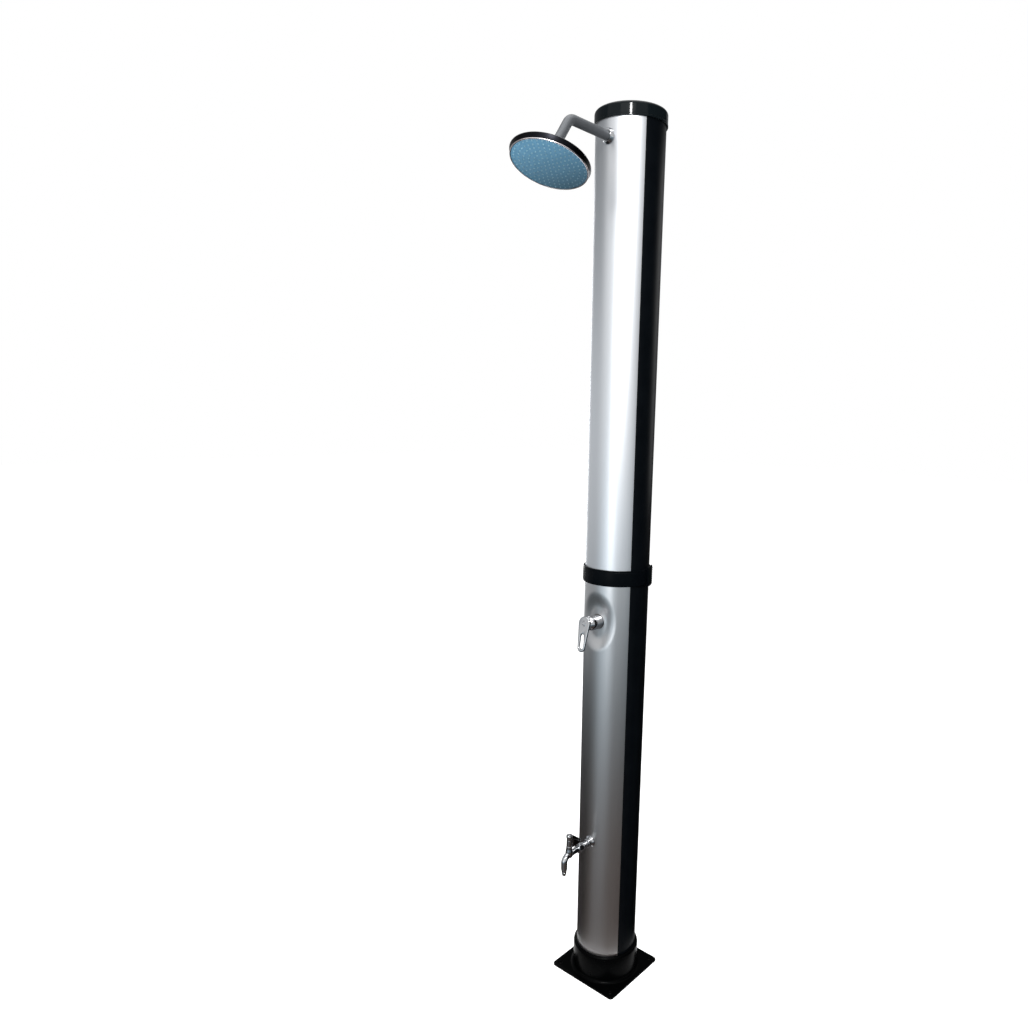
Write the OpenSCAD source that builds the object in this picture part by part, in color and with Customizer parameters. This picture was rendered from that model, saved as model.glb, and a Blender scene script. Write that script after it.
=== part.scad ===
// Outdoor shower post with a two-part water tank column, an aluminium front, a
// shower head on a bent arm, a lever mixer in a pressed recess and a foot tap.
// Origin at the centre of the base's underside, front at -Y, +Z up, millimetres.

/* [Column] */
// Outer radius of the column
col_r = 80; // [74:1:86]
// Wall of the two tank tubes
tank_wall = 3; // [2.5:0.5:4]
// Half angle of the front that the panels cover, in degrees
panel_half = 62; // [60:0.5:64]
// Sheet thickness of the front panels
panel_t = 1.5; // [1:0.1:2]
// Height of the lower tank tube
lower_h = 1107; // [1060:1:1160]
// Height of the upper tank tube
upper_h = 1047; // [980:1:1100]

/* [Base] */
// How far the square base plate stands out past the collar
plate_rim = 16; // [12:1:32]
// Thickness of the base plate
plate_t = 5; // [4:0.5:8]
// Corner radius of the base plate
plate_corner = 10; // [4:1:16]
// Wall of the socket collar
collar_wall = 8; // [7:0.5:12]
// Height of the collar's top above the floor
collar_top = 79; // [60:1:110]
// Radius of the floor bolt holes
bolt_hole_r = 4.5; // [3:0.5:6]
// Distance from the plate's edges to the floor bolt holes
bolt_inset = 16; // [12:1:18]

/* [Joint and cap] */
// Gap between the tubes, filled by the gasket
joint_gap = 2; // [1.5:0.5:3]
// Wall of the joint band
band_wall = 4.5; // [3:0.5:7]
// Height of the joint band
band_h = 39; // [36:0.5:50]
// Wall of the top cap's skirt
cap_wall = 3; // [2:0.5:6]
// Thickness of the top cap's plate
cap_t = 4; // [3:0.5:7]
// Height of the top cap's skirt
cap_skirt = 26; // [20:1:45]

/* [Shower arm and head] */
// Distance from the upper tube's top down to the arm's axis
arm_down = 63; // [58:1:81]
// Outer radius of the arm tube
arm_r = 10.4; // [9:0.1:10.6]
// Distance from the column's axis to the corner of the arm's bend
arm_reach = 208; // [180:1:260]
// Length from the bend's corner to the arm's end
arm_drop = 67; // [50:1:90]
// Angle of the arm's end from vertical, in degrees
arm_angle = 35; // [30:1:40]
// Centreline radius of the arm's bend
arm_bend_r = 24; // [20:1:30]
// Outer radius of the shower head
head_r = 83; // [70:1:110]
// Distance from the ball's centre to the head's face
head_depth = 35; // [33:1:42]
// Thickness of the head's rim
head_rim = 13; // [9:0.5:14]
// How far the shell's widest ring stands out past the face's rim
shell_flare = 3; // [1:0.5:5]
// Angle of the head's axis from vertical, in degrees
head_angle = 20; // [16:1:24]
// Number of nozzle rings
nozzle_rings = 7; // [4:1:8]

/* [Mixer] */
// Distance from the lower tube's top down to the mixer's axis
mixer_down = 112; // [102:1:152]
// Height of the pressed recess round the mixer
recess_h = 142; // [120:1:160]
// Depth of the pressed recess
recess_d = 13; // [10:0.5:15]
// Outer radius of the mixer's sleeve and dome
dome_r = 18; // [17:0.5:20]
// Distance from the column's face to the lever's pivot
pivot_rise = 16; // [12:1:24]
// Angle of the closed lever from vertical, in degrees
lever_rest = 10; // [6:1:12]
// Lift of the lever from closed to full flow, in degrees
lever_lift = 22; // [16:1:24]
// Radius of the lever's upper end
lever_top_r = 17; // [15:0.5:19]
// Radius of the lever's lower end
lever_end_r = 11; // [10:0.5:13]
// Distance between the centres of the lever's two ends
lever_len = 60; // [54:1:70]

/* [Foot tap] */
// Height of the tap's axis
tap_z = 406; // [380:1:430]
// Distance from the column's face to the tap's valve
valve_reach = 83; // [75:1:95]
// Radius of the tap's spout
spout_r = 8; // [6:0.5:8.5]
// Centreline radius of the spout's bend
spout_bend_r = 16; // [12:0.5:18]
// Drop from the tap's axis to the nozzle's mouth
nozzle_drop = 50; // [44:1:61]
// Reach of the handle's blade from the valve's axis
handle_reach = 42; // [36:1:46]
// Thickness of the web under the handle's blade
web_w = 6; // [4:0.5:9]

/* [Water line] */
// Height of the hose inlet's axis
inlet_z = 115; // [108:1:125]
// Outer radius of the inlet's male thread
thread_r = 13.2; // [10.4:0.1:16.5]
// Outer radius of the hoses
hose_r = 6.5; // [6:0.5:7]
// Bore radius of the hoses
hose_bore = 4.5; // [4:0.25:5]
// Sideways distance between neighbouring hoses
hose_pitch = 24; // [22:1:26]

/* [Hidden] */
$fn = 96;
// Clearance of pieces that fit together, of turning shafts and of ball faces
fit = 0.2;
run = 0.06;
ball_gap = 0.25;
// Overrun of cuts past a face
over = 2;

// Heights of the tube ends
low0 = plate_t;
low1 = low0 + lower_h;
up0 = low1 + joint_gap;
up1 = up0 + upper_h;
arm_z = up1 - arm_down;
mixer_z = low1 - mixer_down;
// Outer radii of what goes round the column, and half the base plate's side
collar_r = col_r + collar_wall;
band_r = col_r + band_wall;
cap_r = col_r + cap_wall;
plate_half = collar_r + plate_rim;
// Chord between tank and service channel, as its distance in front of the axis
chord = col_r * cos(panel_half);
wall_in = chord - tank_wall;
tube_in = col_r - tank_wall;

// Rails on the chord wall that hold the panels' hems
hem_w = 8;
rail_t = 2;
rail_gap = panel_t + 2 * fit;
rail_x = sqrt(pow(col_r - panel_t, 2) - pow(chord, 2)) - hem_w;
rail_lip = hem_w / 2 + rail_t;

// Tank end plugs
plug_t = 10;
plug_set = 12;
cap_set = 24;
floor_rise = 35;
floor_z = inlet_z + floor_rise;
lid_z = low1 - plug_set - plug_t;
up_floor_z = up0 + plug_set;
up_lid_z = up1 - cap_set - plug_t;

// Base collar and its screws
collar_round = 6;
collar_fillet = 8;
screw_z = 58;
screw_r = 2;
screw_head_r = 4;
screw_head_t = 2.5;
screw_angles = [145, 215];

// Joint between the tubes
core_wall = 4;
nipple_y = 20;
nipple_r = 10;
nipple_bore = 7;
nipple_flange_r = 15;
nipple_tail = 16;
seal_t = 2.5;
band_mid = up0 - joint_gap / 2;
band_step = 2;
rib_r = 1;
rib_from = -50;
rib_pitch = 11;
rib_count = 5;
lug_angle = 108;
lug_w = 34;
lug_rise = 4;
lug_h = 50;
lug_rib_w = 3;

// Top cap
cap_round = 7;
cap_bead = 0.6;
cap_bead_h = 4;

// Fittings behind the panels, all on the line hose_out
bracket_t = 3;
bracket_h = 44;
bracket_out = chord + fit;
fitting_out = bracket_out + bracket_t;
hose_off = 12.5;
hose_out = chord + hose_off;
elbow_half = 14;
elbow_deep = 24;
barb_r = hose_bore - fit;
barb_len = 13;
inlet_shank_r = 10.5;
inlet_tail = 25;
inlet_bore = 7;
inlet_flange_r = 16;
inlet_flange_t = 5;
inlet_thread_len = 14;
nut_r = 15;
nut_t = 6;
pipe_r = 8;
pipe_bore = 5;
fill_y = 20;
fill_flange_r = 12;
fill_tail = 4;
block_half = 10;
block_deep = 18;
hot_down = 101;
hot_z = up1 - hot_down;
hot_nut_r = 13;
drain_rise = 18;
drain_z = floor_z + plug_t + drain_rise;
drain_r = 8;
drain_head_r = 12;
drain_head_t = 6;
drain_tail = 6;

// Mixer
body_half = 34;
body_h = 56;
body_deep = 21;
sleeve_wall = 1.9;
cartridge_gap = 3.1;
cartridge_r = dome_r - sleeve_wall - cartridge_gap;
cartridge_rise = 4;
cartridge_end = col_r + cartridge_rise;
socket_r = cartridge_r + fit;
socket_depth = 16;
spindle_r = 8;
spindle_foot = 5;
fork_top = 4;
fork_half = 3.2;
eye_r = 4.5;
eye_half = 3;
pin_r = 1.5;
stem_r = 4;
stem_start = 7;
dome_wall = 2.4;
spigot_len = 8;
skirt_gap = 0.4;
skirt_wall = 2.2;
skirt_half = 42;
pivot_out = col_r + pivot_rise;
lever_off = 9;
lever_dist = dome_r + lever_off;
lever_t = 6;
hub_r = 11;
slot_bridge = 16;
slot_start = lever_top_r + slot_bridge;
slot_back = 3;
slot_end = lever_len - slot_back;
slot_r = 6;
stem_over = 5;
stem_tip = dome_r + stem_over;
lever_screw_r = 1.6;
lever_screw_head_r = 3.2;
index_r = 5;
index_t = 1.6;
// Front centre of the sphere that presses the recess
recess_half = recess_h / 2;
press_r = (recess_half * recess_half + recess_d * recess_d) / (2 * recess_d);
press_out = col_r - recess_d + press_r;

// Foot tap
tap_flange_r = 15;
tap_flange_t = 5;
tap_sleeve_r = 10.5;
tap_sleeve_len = 15;
tap_sleeve_end = col_r + tap_sleeve_len;
valve_out = col_r + valve_reach;
nozzle_z = tap_z - nozzle_drop;
tap_shank_r = 7.8;
tap_neck_r = 8;
tap_nut_r = 12;
tap_nut_t = 14;
tap_nut_back = 33;
tap_nut_to = valve_out - tap_nut_back;
valve_r = 9.5;
valve_low = 9;
valve_top = 24;
bonnet_r = 7.2;
bonnet_h = 16;
tap_bore = 4;
tap_stem_r = 3.5;
tap_stem_foot = 12;
handle_hub_r = 8.7;
handle_hub_h = 13;
blade_t = 6;
blade_w = 11;
blade_drop = 25;
web_gap = 3;
nozzle_len = 17;
nozzle_tip_r = 4.5;
tap_screw_r = 1.6;
tap_screw_head_r = 3.4;
tap_screw_head_t = 1.8;

// Shower arm and ball joint
arm_wall = 1.6;
bend_step = 0.15;
bend_lap = 1.5;
arm_flange_r = 17;
arm_flange_neck = 13;
arm_flange_t = 8;
ball_r = 9;
ball_neck_r = 4;
ball_off = 18;
ball_collar = 3;
ball_tail = 12;
ball_bore = 2.5;
seat_wall = 2.2;
seat_from = 1;
seat_to = 4.2;
nut_out_r = 14.5;
nut_top = 8;
nut_low = 12;
nut_land = 3;
nut_mouth = 58;
neck_r = 11.6;
neck_top = 5;
neck_slope = 2;
neck_wall = 2;
shell_wall = 2.5;
shell_hub_r = 17;
shell_hub_z = 15;
mat_t = 1.5;
plate_face_t = 2;
face_set = 0.7;
trim_w = 3;
trim_in = head_r - trim_w;
nub_r = 1.3;
nub_out = 1.6;
nozzle_step = (trim_in - nub_r * 4) / nozzle_rings;
arm_end_out = arm_reach + arm_drop * sin(arm_angle);
arm_end_z = arm_z - arm_drop * cos(arm_angle);
ball_out = arm_end_out + ball_off * sin(arm_angle);
ball_z = arm_end_z - ball_off * cos(arm_angle);

// Places children with their +Z pointing to the front, from a distance in front of the axis
module front(out, z, x = 0) { translate([x, -out, z]) rotate([90, 0, 0]) children(); }

// The same to the rear
module rear(out, z, x = 0) { translate([x, out, z]) rotate([-90, 0, 0]) children(); }

// Round tube from its foot at z = 0
module tube(r, bore, h) {
    difference() {
        cylinder(r = r, h = h);
        translate([0, 0, -over]) cylinder(r = bore, h = h + 2 * over);
    }
}

// D-shaped outline of radius r behind a chord at distance c in front of the axis
module dee(r, c) {
    intersection() {
        circle(r = r);
        translate([-r, -c]) square([2 * r, r + c]);
    }
}

// One L-shaped rail on the right of the chord wall
module rail_profile() {
    translate([rail_x - rail_t, -chord - rail_gap - rail_t]) square([rail_t, rail_gap + rail_t + fit]);
    translate([rail_x - rail_t, -chord - rail_gap - rail_t]) square([rail_lip, rail_t]);
}

// Closed tank tube with its panel rails, in section
module tank_profile() {
    difference() {
        dee(col_r, chord);
        dee(tube_in, wall_in);
    }
    for (side = [0, 1]) mirror([side, 0]) rail_profile();
}

// D-shaped end plug with room for the weld
module plug() { linear_extrude(plug_t) dee(tube_in - fit, wall_in - fit); }

// Front segment of radius r behind which everything is cut off at distance c in front of the axis
module segment(r, c) {
    intersection() {
        circle(r = r);
        translate([-r, -r]) square([2 * r, r - c]);
    }
}

// Sheet panel in section, an arc with a hem along each edge
module panel_profile() {
    hem_y = chord + fit;
    hem_x = rail_x + fit;
    difference() {
        segment(col_r, hem_y);
        segment(col_r - panel_t, hem_y + panel_t);
        translate([-hem_x, -hem_y - panel_t - over]) square([2 * hem_x, panel_t + 2 * over]);
    }
}

module base_foot() {
    side = 2 * plate_half;
    hole = plate_half - bolt_inset;
    ring_in = col_r + fit;
    color([0.02, 0.02, 0.022]) difference() {
        union() {
            linear_extrude(plate_t) {
                square([side, side - 2 * plate_corner], center = true);
                square([side - 2 * plate_corner, side], center = true);
                for (x = [-1, 1], y = [-1, 1])
                    translate([x * (plate_half - plate_corner), y * (plate_half - plate_corner)])
                        circle(r = plate_corner);
            }
            rotate_extrude() {
                difference() {
                    translate([ring_in, plate_t / 2])
                        square([collar_r - ring_in, collar_top - plate_t / 2]);
                    translate([collar_r - collar_round, collar_top - collar_round])
                        square(collar_round + over);
                }
                intersection() {
                    translate([collar_r - collar_round, collar_top - collar_round])
                        circle(r = collar_round);
                    translate([ring_in, plate_t]) square([collar_r - ring_in, collar_top]);
                }
                difference() {
                    translate([collar_r - fit, plate_t / 2])
                        square([collar_fillet + fit, collar_fillet + plate_t / 2]);
                    translate([collar_r + collar_fillet, plate_t + collar_fillet])
                        circle(r = collar_fillet);
                }
            }
        }
        for (x = [-1, 1], y = [-1, 1])
            translate([x * hole, y * hole, -over]) cylinder(r = bolt_hole_r, h = plate_t + 2 * over);
        for (a = screw_angles) rotate([0, 0, a])
            front(col_r - over, screw_z) cylinder(r = screw_r + fit, h = collar_r - col_r + 2 * over);
    }
}

module collar_screws() {
    color([0.5, 0.5, 0.52]) for (a = screw_angles) rotate([0, 0, a]) {
        front(tube_in - tank_wall, screw_z)
            cylinder(r = screw_r, h = collar_r - tube_in + tank_wall + screw_head_t);
        front(collar_r + fit, screw_z) cylinder(r = screw_head_r, h = screw_head_t);
    }
}

module lower_tank() {
    color([0.03, 0.03, 0.035]) difference() {
        translate([0, 0, low0]) linear_extrude(lower_h) tank_profile();
        for (a = screw_angles) rotate([0, 0, a])
            front(tube_in - over, screw_z) cylinder(r = screw_r + fit, h = tank_wall + 2 * over);
        rear(tube_in - over, inlet_z) cylinder(r = inlet_shank_r + fit, h = tank_wall + 2 * over);
        front(wall_in - over, inlet_z) cylinder(r = pipe_r + fit, h = tank_wall + 2 * over);
        rear(tube_in - over, drain_z) cylinder(r = drain_r + fit, h = tank_wall + 2 * over);
    }
}

module lower_tank_floor() {
    color([0.06, 0.06, 0.065]) difference() {
        translate([0, 0, floor_z]) plug();
        translate([0, fill_y, floor_z - over]) cylinder(r = pipe_r + fit, h = plug_t + 2 * over);
    }
}

// Plug with the nipple's hole
module nipple_plug(z) {
    difference() {
        translate([0, 0, z]) plug();
        translate([0, nipple_y, z - over]) cylinder(r = nipple_r + fit, h = plug_t + 2 * over);
    }
}

module lower_tank_lid() { color([0.06, 0.06, 0.065]) nipple_plug(lid_z); }

module upper_tank_floor() { color([0.06, 0.06, 0.065]) nipple_plug(up_floor_z); }

module upper_tank_lid() { color([0.06, 0.06, 0.065]) translate([0, 0, up_lid_z]) plug(); }

module upper_tank() {
    color([0.03, 0.03, 0.035]) difference() {
        translate([0, 0, up0]) linear_extrude(upper_h) tank_profile();
        front(wall_in - over, hot_z, -hose_pitch) cylinder(r = pipe_r + fit, h = tank_wall + 2 * over);
    }
}

// Sheet panel with the mixer's recess pressed in and the holes for mixer and tap
module lower_panel() {
    color([0.62, 0.63, 0.65]) difference() {
        union() {
            translate([0, 0, low0]) linear_extrude(lower_h) panel_profile();
            intersection() {
                translate([0, 0, low0]) linear_extrude(lower_h) segment(col_r - panel_t / 2, chord + fit);
                front(press_out, mixer_z) sphere(r = press_r + panel_t);
            }
        }
        front(press_out, mixer_z) sphere(r = press_r);
        front(chord, mixer_z) cylinder(r = dome_r + 5 * fit, h = col_r);
        front(chord, tap_z) cylinder(r = tap_shank_r + 5 * fit, h = col_r);
    }
}

module upper_panel() {
    color([0.78, 0.79, 0.81]) difference() {
        translate([0, 0, up0]) linear_extrude(upper_h) panel_profile();
        front(chord, arm_z) cylinder(r = arm_r + 3 * fit, h = col_r);
    }
}

module top_cap() {
    top = up1 + cap_t;
    low = up1 - cap_skirt;
    color([0.02, 0.02, 0.022]) difference() {
        rotate_extrude() {
            translate([0, low]) square([cap_r, top - low - cap_round]);
            translate([0, top - cap_round]) square([cap_r - cap_round, cap_round]);
            intersection() {
                translate([cap_r - cap_round, top - cap_round]) circle(r = cap_round);
                translate([0, low]) square([cap_r, top - low]);
            }
            translate([0, low]) square([cap_r + cap_bead, cap_bead_h]);
        }
        translate([0, 0, low - over]) cylinder(r = col_r + fit, h = cap_skirt + over);
    }
}

module joint_gasket() {
    color([0.05, 0.05, 0.05]) translate([0, 0, low1]) linear_extrude(joint_gap) {
        difference() {
            circle(r = col_r - fit);
            circle(r = tube_in);
        }
        intersection() {
            circle(r = tube_in + fit);
            translate([-col_r, -chord]) square([2 * col_r, tank_wall]);
        }
    }
}

module joint_core() {
    core_h = up_floor_z - lid_z - plug_t;
    color([0.1, 0.1, 0.11]) translate([0, 0, lid_z + plug_t]) linear_extrude(core_h) difference() {
        dee(tube_in - fit, wall_in - fit);
        dee(tube_in - fit - core_wall, wall_in - fit - core_wall);
    }
}

module joint_nipple() {
    from = lid_z + plug_t + seal_t;
    to = up_floor_z - seal_t;
    foot = lid_z - nipple_tail;
    long = up_floor_z + plug_t + nipple_tail - foot;
    color([0.75, 0.6, 0.3]) difference() {
        translate([0, nipple_y, 0]) {
            translate([0, 0, foot]) cylinder(r = nipple_r, h = long);
            translate([0, 0, from]) cylinder(r = nipple_flange_r, h = to - from, $fn = 6);
        }
        translate([0, nipple_y, foot - over]) cylinder(r = nipple_bore, h = long + 2 * over);
    }
}

module nipple_seals() {
    color([0.08, 0.08, 0.08]) for (z = [lid_z + plug_t, up_floor_z - seal_t])
        translate([0, nipple_y, z]) tube(nipple_flange_r - seal_t, nipple_r + fit, seal_t);
}

// Ring round both tube ends with a step near its top and grip ribs on the left of the front
module joint_band() {
    color([0.02, 0.02, 0.022]) translate([0, 0, band_mid - band_h / 2]) difference() {
        union() {
            tube(band_r, col_r + fit, band_h);
            tube(band_r + band_step / 4, col_r + fit, band_h - 2 * band_step);
            for (i = [0 : rib_count - 1]) rotate([0, 0, rib_from + i * rib_pitch])
                translate([0, -band_r, band_step]) cylinder(r = rib_r, h = band_h - 2 * band_step);
        }
        translate([0, 0, -over]) cylinder(r = col_r + fit, h = band_h + 2 * over);
        rotate([0, 0, lug_angle]) front(col_r - over, band_h / 2) cylinder(r = screw_r + fit, h = band_r);
    }
}

// Raised ribbed block over the band's closing screw
module band_lug() {
    out = band_r + band_step / 4 + fit;
    color([0.03, 0.03, 0.033]) rotate([0, 0, lug_angle]) translate([0, 0, band_mid]) difference() {
        intersection() {
            translate([0, 0, -lug_h / 2]) difference() {
                cylinder(r = out + lug_rise, h = lug_h);
                translate([0, 0, -over]) cylinder(r = out, h = lug_h + 2 * over);
            }
            translate([-lug_w / 2, -out - 2 * lug_rise, -lug_h / 2]) cube([lug_w, out, lug_h]);
        }
        for (i = [-2 : 2])
            translate([i * 2 * lug_rib_w - lug_rib_w / 2, -out - 2 * lug_rise, -lug_h / 2 - over])
                cube([lug_rib_w, 1.5 * lug_rise, lug_h + 2 * over]);
        front(out - over, 0) cylinder(r = screw_r + fit, h = 2 * lug_rise + over);
    }
}

module band_screw() {
    out = band_r + band_step / 4 + fit + lug_rise / 2;
    color([0.5, 0.5, 0.52]) rotate([0, 0, lug_angle]) front(col_r + 2 * fit, band_mid)
        cylinder(r = screw_r, h = out - col_r);
}

module inlet_connector() {
    face = col_r + fit + seal_t;
    color([0.75, 0.6, 0.3]) difference() {
        union() {
            rear(face - inlet_tail, inlet_z) cylinder(r = inlet_shank_r, h = inlet_tail);
            rear(face, inlet_z) cylinder(r = inlet_flange_r, h = inlet_flange_t, $fn = 6);
            rear(face, inlet_z) cylinder(r = thread_r, h = inlet_flange_t + inlet_thread_len);
        }
        rear(face - inlet_tail - over, inlet_z)
            cylinder(r = inlet_bore, h = inlet_tail + inlet_flange_t + inlet_thread_len + 2 * over);
    }
}

module inlet_seal() {
    color([0.08, 0.08, 0.08]) rear(col_r + fit, inlet_z)
        tube(inlet_flange_r - seal_t, inlet_shank_r + fit, seal_t);
}

module inlet_nut() {
    sag = tube_in - sqrt(tube_in * tube_in - nut_r * nut_r);
    color([0.7, 0.56, 0.28]) rear(tube_in - sag - fit - nut_t, inlet_z) difference() {
        cylinder(r = nut_r, h = nut_t, $fn = 6);
        translate([0, 0, -over]) cylinder(r = inlet_shank_r + fit, h = nut_t + 2 * over);
    }
}

// Cast manifold, rear pipe with the tank's fill branch and a front block with two hose barbs
module inlet_manifold() {
    back = col_r + fit + seal_t - inlet_tail;
    color([0.72, 0.58, 0.3]) difference() {
        union() {
            front(-back, inlet_z) cylinder(r = pipe_r, h = back + fitting_out + block_deep / 2);
            translate([0, fill_y, inlet_z])
                cylinder(r = pipe_r, h = floor_z + plug_t + fill_tail - inlet_z);
            translate([0, fill_y, floor_z - 2 * seal_t]) cylinder(r = fill_flange_r, h = seal_t);
            translate([-block_half, -fitting_out - block_deep, inlet_z - block_half])
                cube([2 * block_half + hose_pitch, block_deep, 2 * block_half]);
            for (x = [0, hose_pitch]) translate([x, -hose_out, inlet_z + block_half - fit])
                cylinder(r = barb_r, h = barb_len + fit);
        }
        front(-back - over, inlet_z) cylinder(r = pipe_bore, h = back + over + hose_out);
        translate([0, fill_y, inlet_z])
            cylinder(r = pipe_bore, h = floor_z + plug_t + 2 * over + fill_tail - inlet_z);
        translate([0, -hose_out, inlet_z]) rotate([0, 90, 0]) cylinder(r = barb_r / 2, h = hose_pitch);
        for (x = [0, hose_pitch]) translate([x, -hose_out, inlet_z])
            cylinder(r = barb_r / 2, h = block_half + barb_len + over);
    }
}

module fill_seal() {
    color([0.08, 0.08, 0.08]) translate([0, fill_y, floor_z - seal_t])
        tube(fill_flange_r, pipe_r + fit, seal_t);
}

module drain_plug() {
    face = col_r + fit + seal_t;
    color([0.1, 0.1, 0.11]) {
        rear(tube_in - drain_tail, drain_z) cylinder(r = drain_r, h = face - tube_in + drain_tail);
        rear(face, drain_z) cylinder(r = drain_head_r, h = drain_head_t, $fn = 6);
    }
}

module drain_seal() {
    color([0.08, 0.08, 0.08]) rear(col_r + fit, drain_z)
        tube(drain_head_r - seal_t / 2, drain_r + fit, seal_t);
}

// Three plates between the rails that carry the mixer and the two wall elbows
module brackets() {
    half = rail_x - rail_t - fit;
    color([0.6, 0.61, 0.63]) for (z = [tap_z, mixer_z, arm_z])
        translate([-half, -fitting_out, z - bracket_h / 2]) cube([2 * half, bracket_t, bracket_h]);
}

// Straight hose between two heights on the hose line
module hose(x, from, to) {
    translate([x, -hose_out, from + fit]) tube(hose_r, hose_bore, to - from - 2 * fit);
}

module cold_hose() {
    color([0.1, 0.2, 0.5]) hose(hose_pitch, inlet_z + block_half, mixer_z - body_h / 2);
}

module tap_hose() { color([0.1, 0.2, 0.5]) hose(0, inlet_z + block_half, tap_z - elbow_half); }

module hot_hose() { color([0.6, 0.12, 0.1]) hose(-hose_pitch, mixer_z + body_h / 2, hot_z - block_half); }

module riser_hose() { color([0.5, 0.5, 0.52]) hose(0, mixer_z + body_h / 2, arm_z - elbow_half); }

module hot_elbow() {
    out = fitting_out;
    barb_z = hot_z - block_half - barb_len;
    color([0.72, 0.58, 0.3]) difference() {
        union() {
            front(wall_in - nut_t - 2 * fit, hot_z, -hose_pitch)
                cylinder(r = pipe_r, h = tank_wall + nut_t + bracket_t + fit);
            translate([-hose_pitch - block_half, -out - block_deep, hot_z - block_half])
                cube([2 * block_half, block_deep + bracket_t - fit, 2 * block_half]);
            translate([-hose_pitch, -hose_out, barb_z]) cylinder(r = barb_r, h = barb_len + fit);
        }
        front(wall_in - nut_t - over, hot_z, -hose_pitch)
            cylinder(r = pipe_bore, h = hose_out - wall_in + nut_t + over);
        translate([-hose_pitch, -hose_out, barb_z - over])
            cylinder(r = barb_r / 2, h = barb_len + block_half + over);
    }
}

module hot_elbow_nut() {
    color([0.7, 0.56, 0.28]) front(wall_in - fit - nut_t, hot_z, -hose_pitch) difference() {
        cylinder(r = hot_nut_r, h = nut_t, $fn = 6);
        translate([0, 0, -over]) cylinder(r = pipe_r + fit, h = nut_t + 2 * over);
    }
}

// Wall elbow on a bracket with a socket to the front and a hose barb below
module wall_elbow(z, socket) {
    color([0.72, 0.58, 0.3]) difference() {
        union() {
            translate([-elbow_half, -fitting_out - elbow_deep, z - elbow_half])
                cube([2 * elbow_half, elbow_deep, 2 * elbow_half]);
            translate([0, -hose_out, z - elbow_half - barb_len]) cylinder(r = barb_r, h = barb_len + fit);
        }
        front(fitting_out + elbow_deep / 2, z) cylinder(r = socket + fit, h = elbow_deep);
        front(hose_out - pipe_bore, z) cylinder(r = pipe_bore, h = elbow_deep);
        translate([0, -hose_out, z - elbow_half - barb_len - over])
            cylinder(r = barb_r / 2, h = barb_len + elbow_half + over);
    }
}

module tap_elbow() { wall_elbow(tap_z, tap_shank_r); }

module arm_elbow() { wall_elbow(arm_z, arm_r); }

// Valve body behind the panel with its cartridge socket and three hose barbs
module mixer_body() {
    color([0.72, 0.58, 0.3]) difference() {
        union() {
            translate([-body_half, -fitting_out - body_deep, mixer_z - body_h / 2])
                cube([2 * body_half, body_deep, body_h]);
            for (x = [-hose_pitch, 0]) translate([x, -hose_out, mixer_z + body_h / 2 - fit])
                cylinder(r = barb_r, h = barb_len + fit);
            translate([hose_pitch, -hose_out, mixer_z - body_h / 2 - barb_len])
                cylinder(r = barb_r, h = barb_len + fit);
        }
        front(fitting_out + body_deep - socket_depth, mixer_z)
            cylinder(r = socket_r, h = socket_depth + over);
        for (x = [-hose_pitch, 0]) translate([x, -hose_out, mixer_z]) cylinder(r = barb_r / 2, h = body_h);
        translate([hose_pitch, -hose_out, mixer_z - body_h]) cylinder(r = barb_r / 2, h = body_h);
        translate([-hose_pitch, -hose_out, mixer_z]) rotate([0, 90, 0])
            cylinder(r = barb_r / 2, h = 2 * hose_pitch);
    }
}

module mixer_sleeve() {
    from = fitting_out + body_deep;
    color([0.85, 0.86, 0.88]) front(from, mixer_z)
        tube(dome_r, dome_r - sleeve_wall, pivot_out - ball_gap - from);
}

module cartridge_body() {
    from = fitting_out + body_deep - socket_depth;
    color([0.9, 0.9, 0.88]) difference() {
        front(from, mixer_z) cylinder(r = cartridge_r, h = cartridge_end - from);
        front(from + spindle_foot, mixer_z) cylinder(r = spindle_r + run, h = cartridge_end);
    }
}

// Turning spindle with a fork for the lever's stem
module cartridge_spindle() {
    from = fitting_out + body_deep - socket_depth + spindle_foot + ball_gap;
    color([0.6, 0.6, 0.62]) difference() {
        front(from, mixer_z) cylinder(r = spindle_r, h = pivot_out + fork_top - from);
        translate([-fork_half, -pivot_out - spindle_r, mixer_z - spindle_r - over])
            cube([2 * fork_half, spindle_r + eye_r + fit, 2 * spindle_r + 2 * over]);
        translate([-spindle_r - over, -pivot_out, mixer_z]) rotate([0, 90, 0])
            cylinder(r = pin_r + run, h = 2 * spindle_r + 2 * over);
    }
}

module cartridge_pin() {
    half = spindle_r - fit;
    color([0.7, 0.7, 0.72]) translate([-half, -pivot_out, mixer_z]) rotate([0, 90, 0])
        cylinder(r = pin_r, h = 2 * half);
}

// Places children at the lever's pivot with +Z along the closed lever's stem and -Y down the lever
module at_stem() { front(pivot_out, mixer_z) rotate([-lever_rest, 0, 0]) children(); }

// Turning dome, open in a slot for the stem's travel
module mixer_dome() {
    spigot_r = dome_r - sleeve_wall - run;
    hollow = dome_r - dome_wall;
    pad = asin((stem_r + 2 * ball_gap) / hollow);
    slot_low = lever_rest - pad;
    slot_high = lever_rest + lever_lift + pad;
    far = 2 * dome_r;
    color([0.87, 0.88, 0.9]) front(pivot_out, mixer_z) difference() {
        rotate_extrude() difference() {
            union() {
                intersection() {
                    circle(r = dome_r);
                    square(dome_r);
                }
                translate([0, -spigot_len]) square([spigot_r, spigot_len + dome_wall]);
            }
            circle(r = hollow);
            translate([0, -spigot_len - over]) square([hollow - dome_wall, spigot_len + over]);
        }
        rotate([0, -90, 0]) linear_extrude(2 * stem_r + 4 * ball_gap, center = true) polygon([
            [0, 0], [far * cos(slot_low), far * sin(slot_low)], [far * cos(slot_high), far * sin(slot_high)]
        ]);
    }
}

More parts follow.
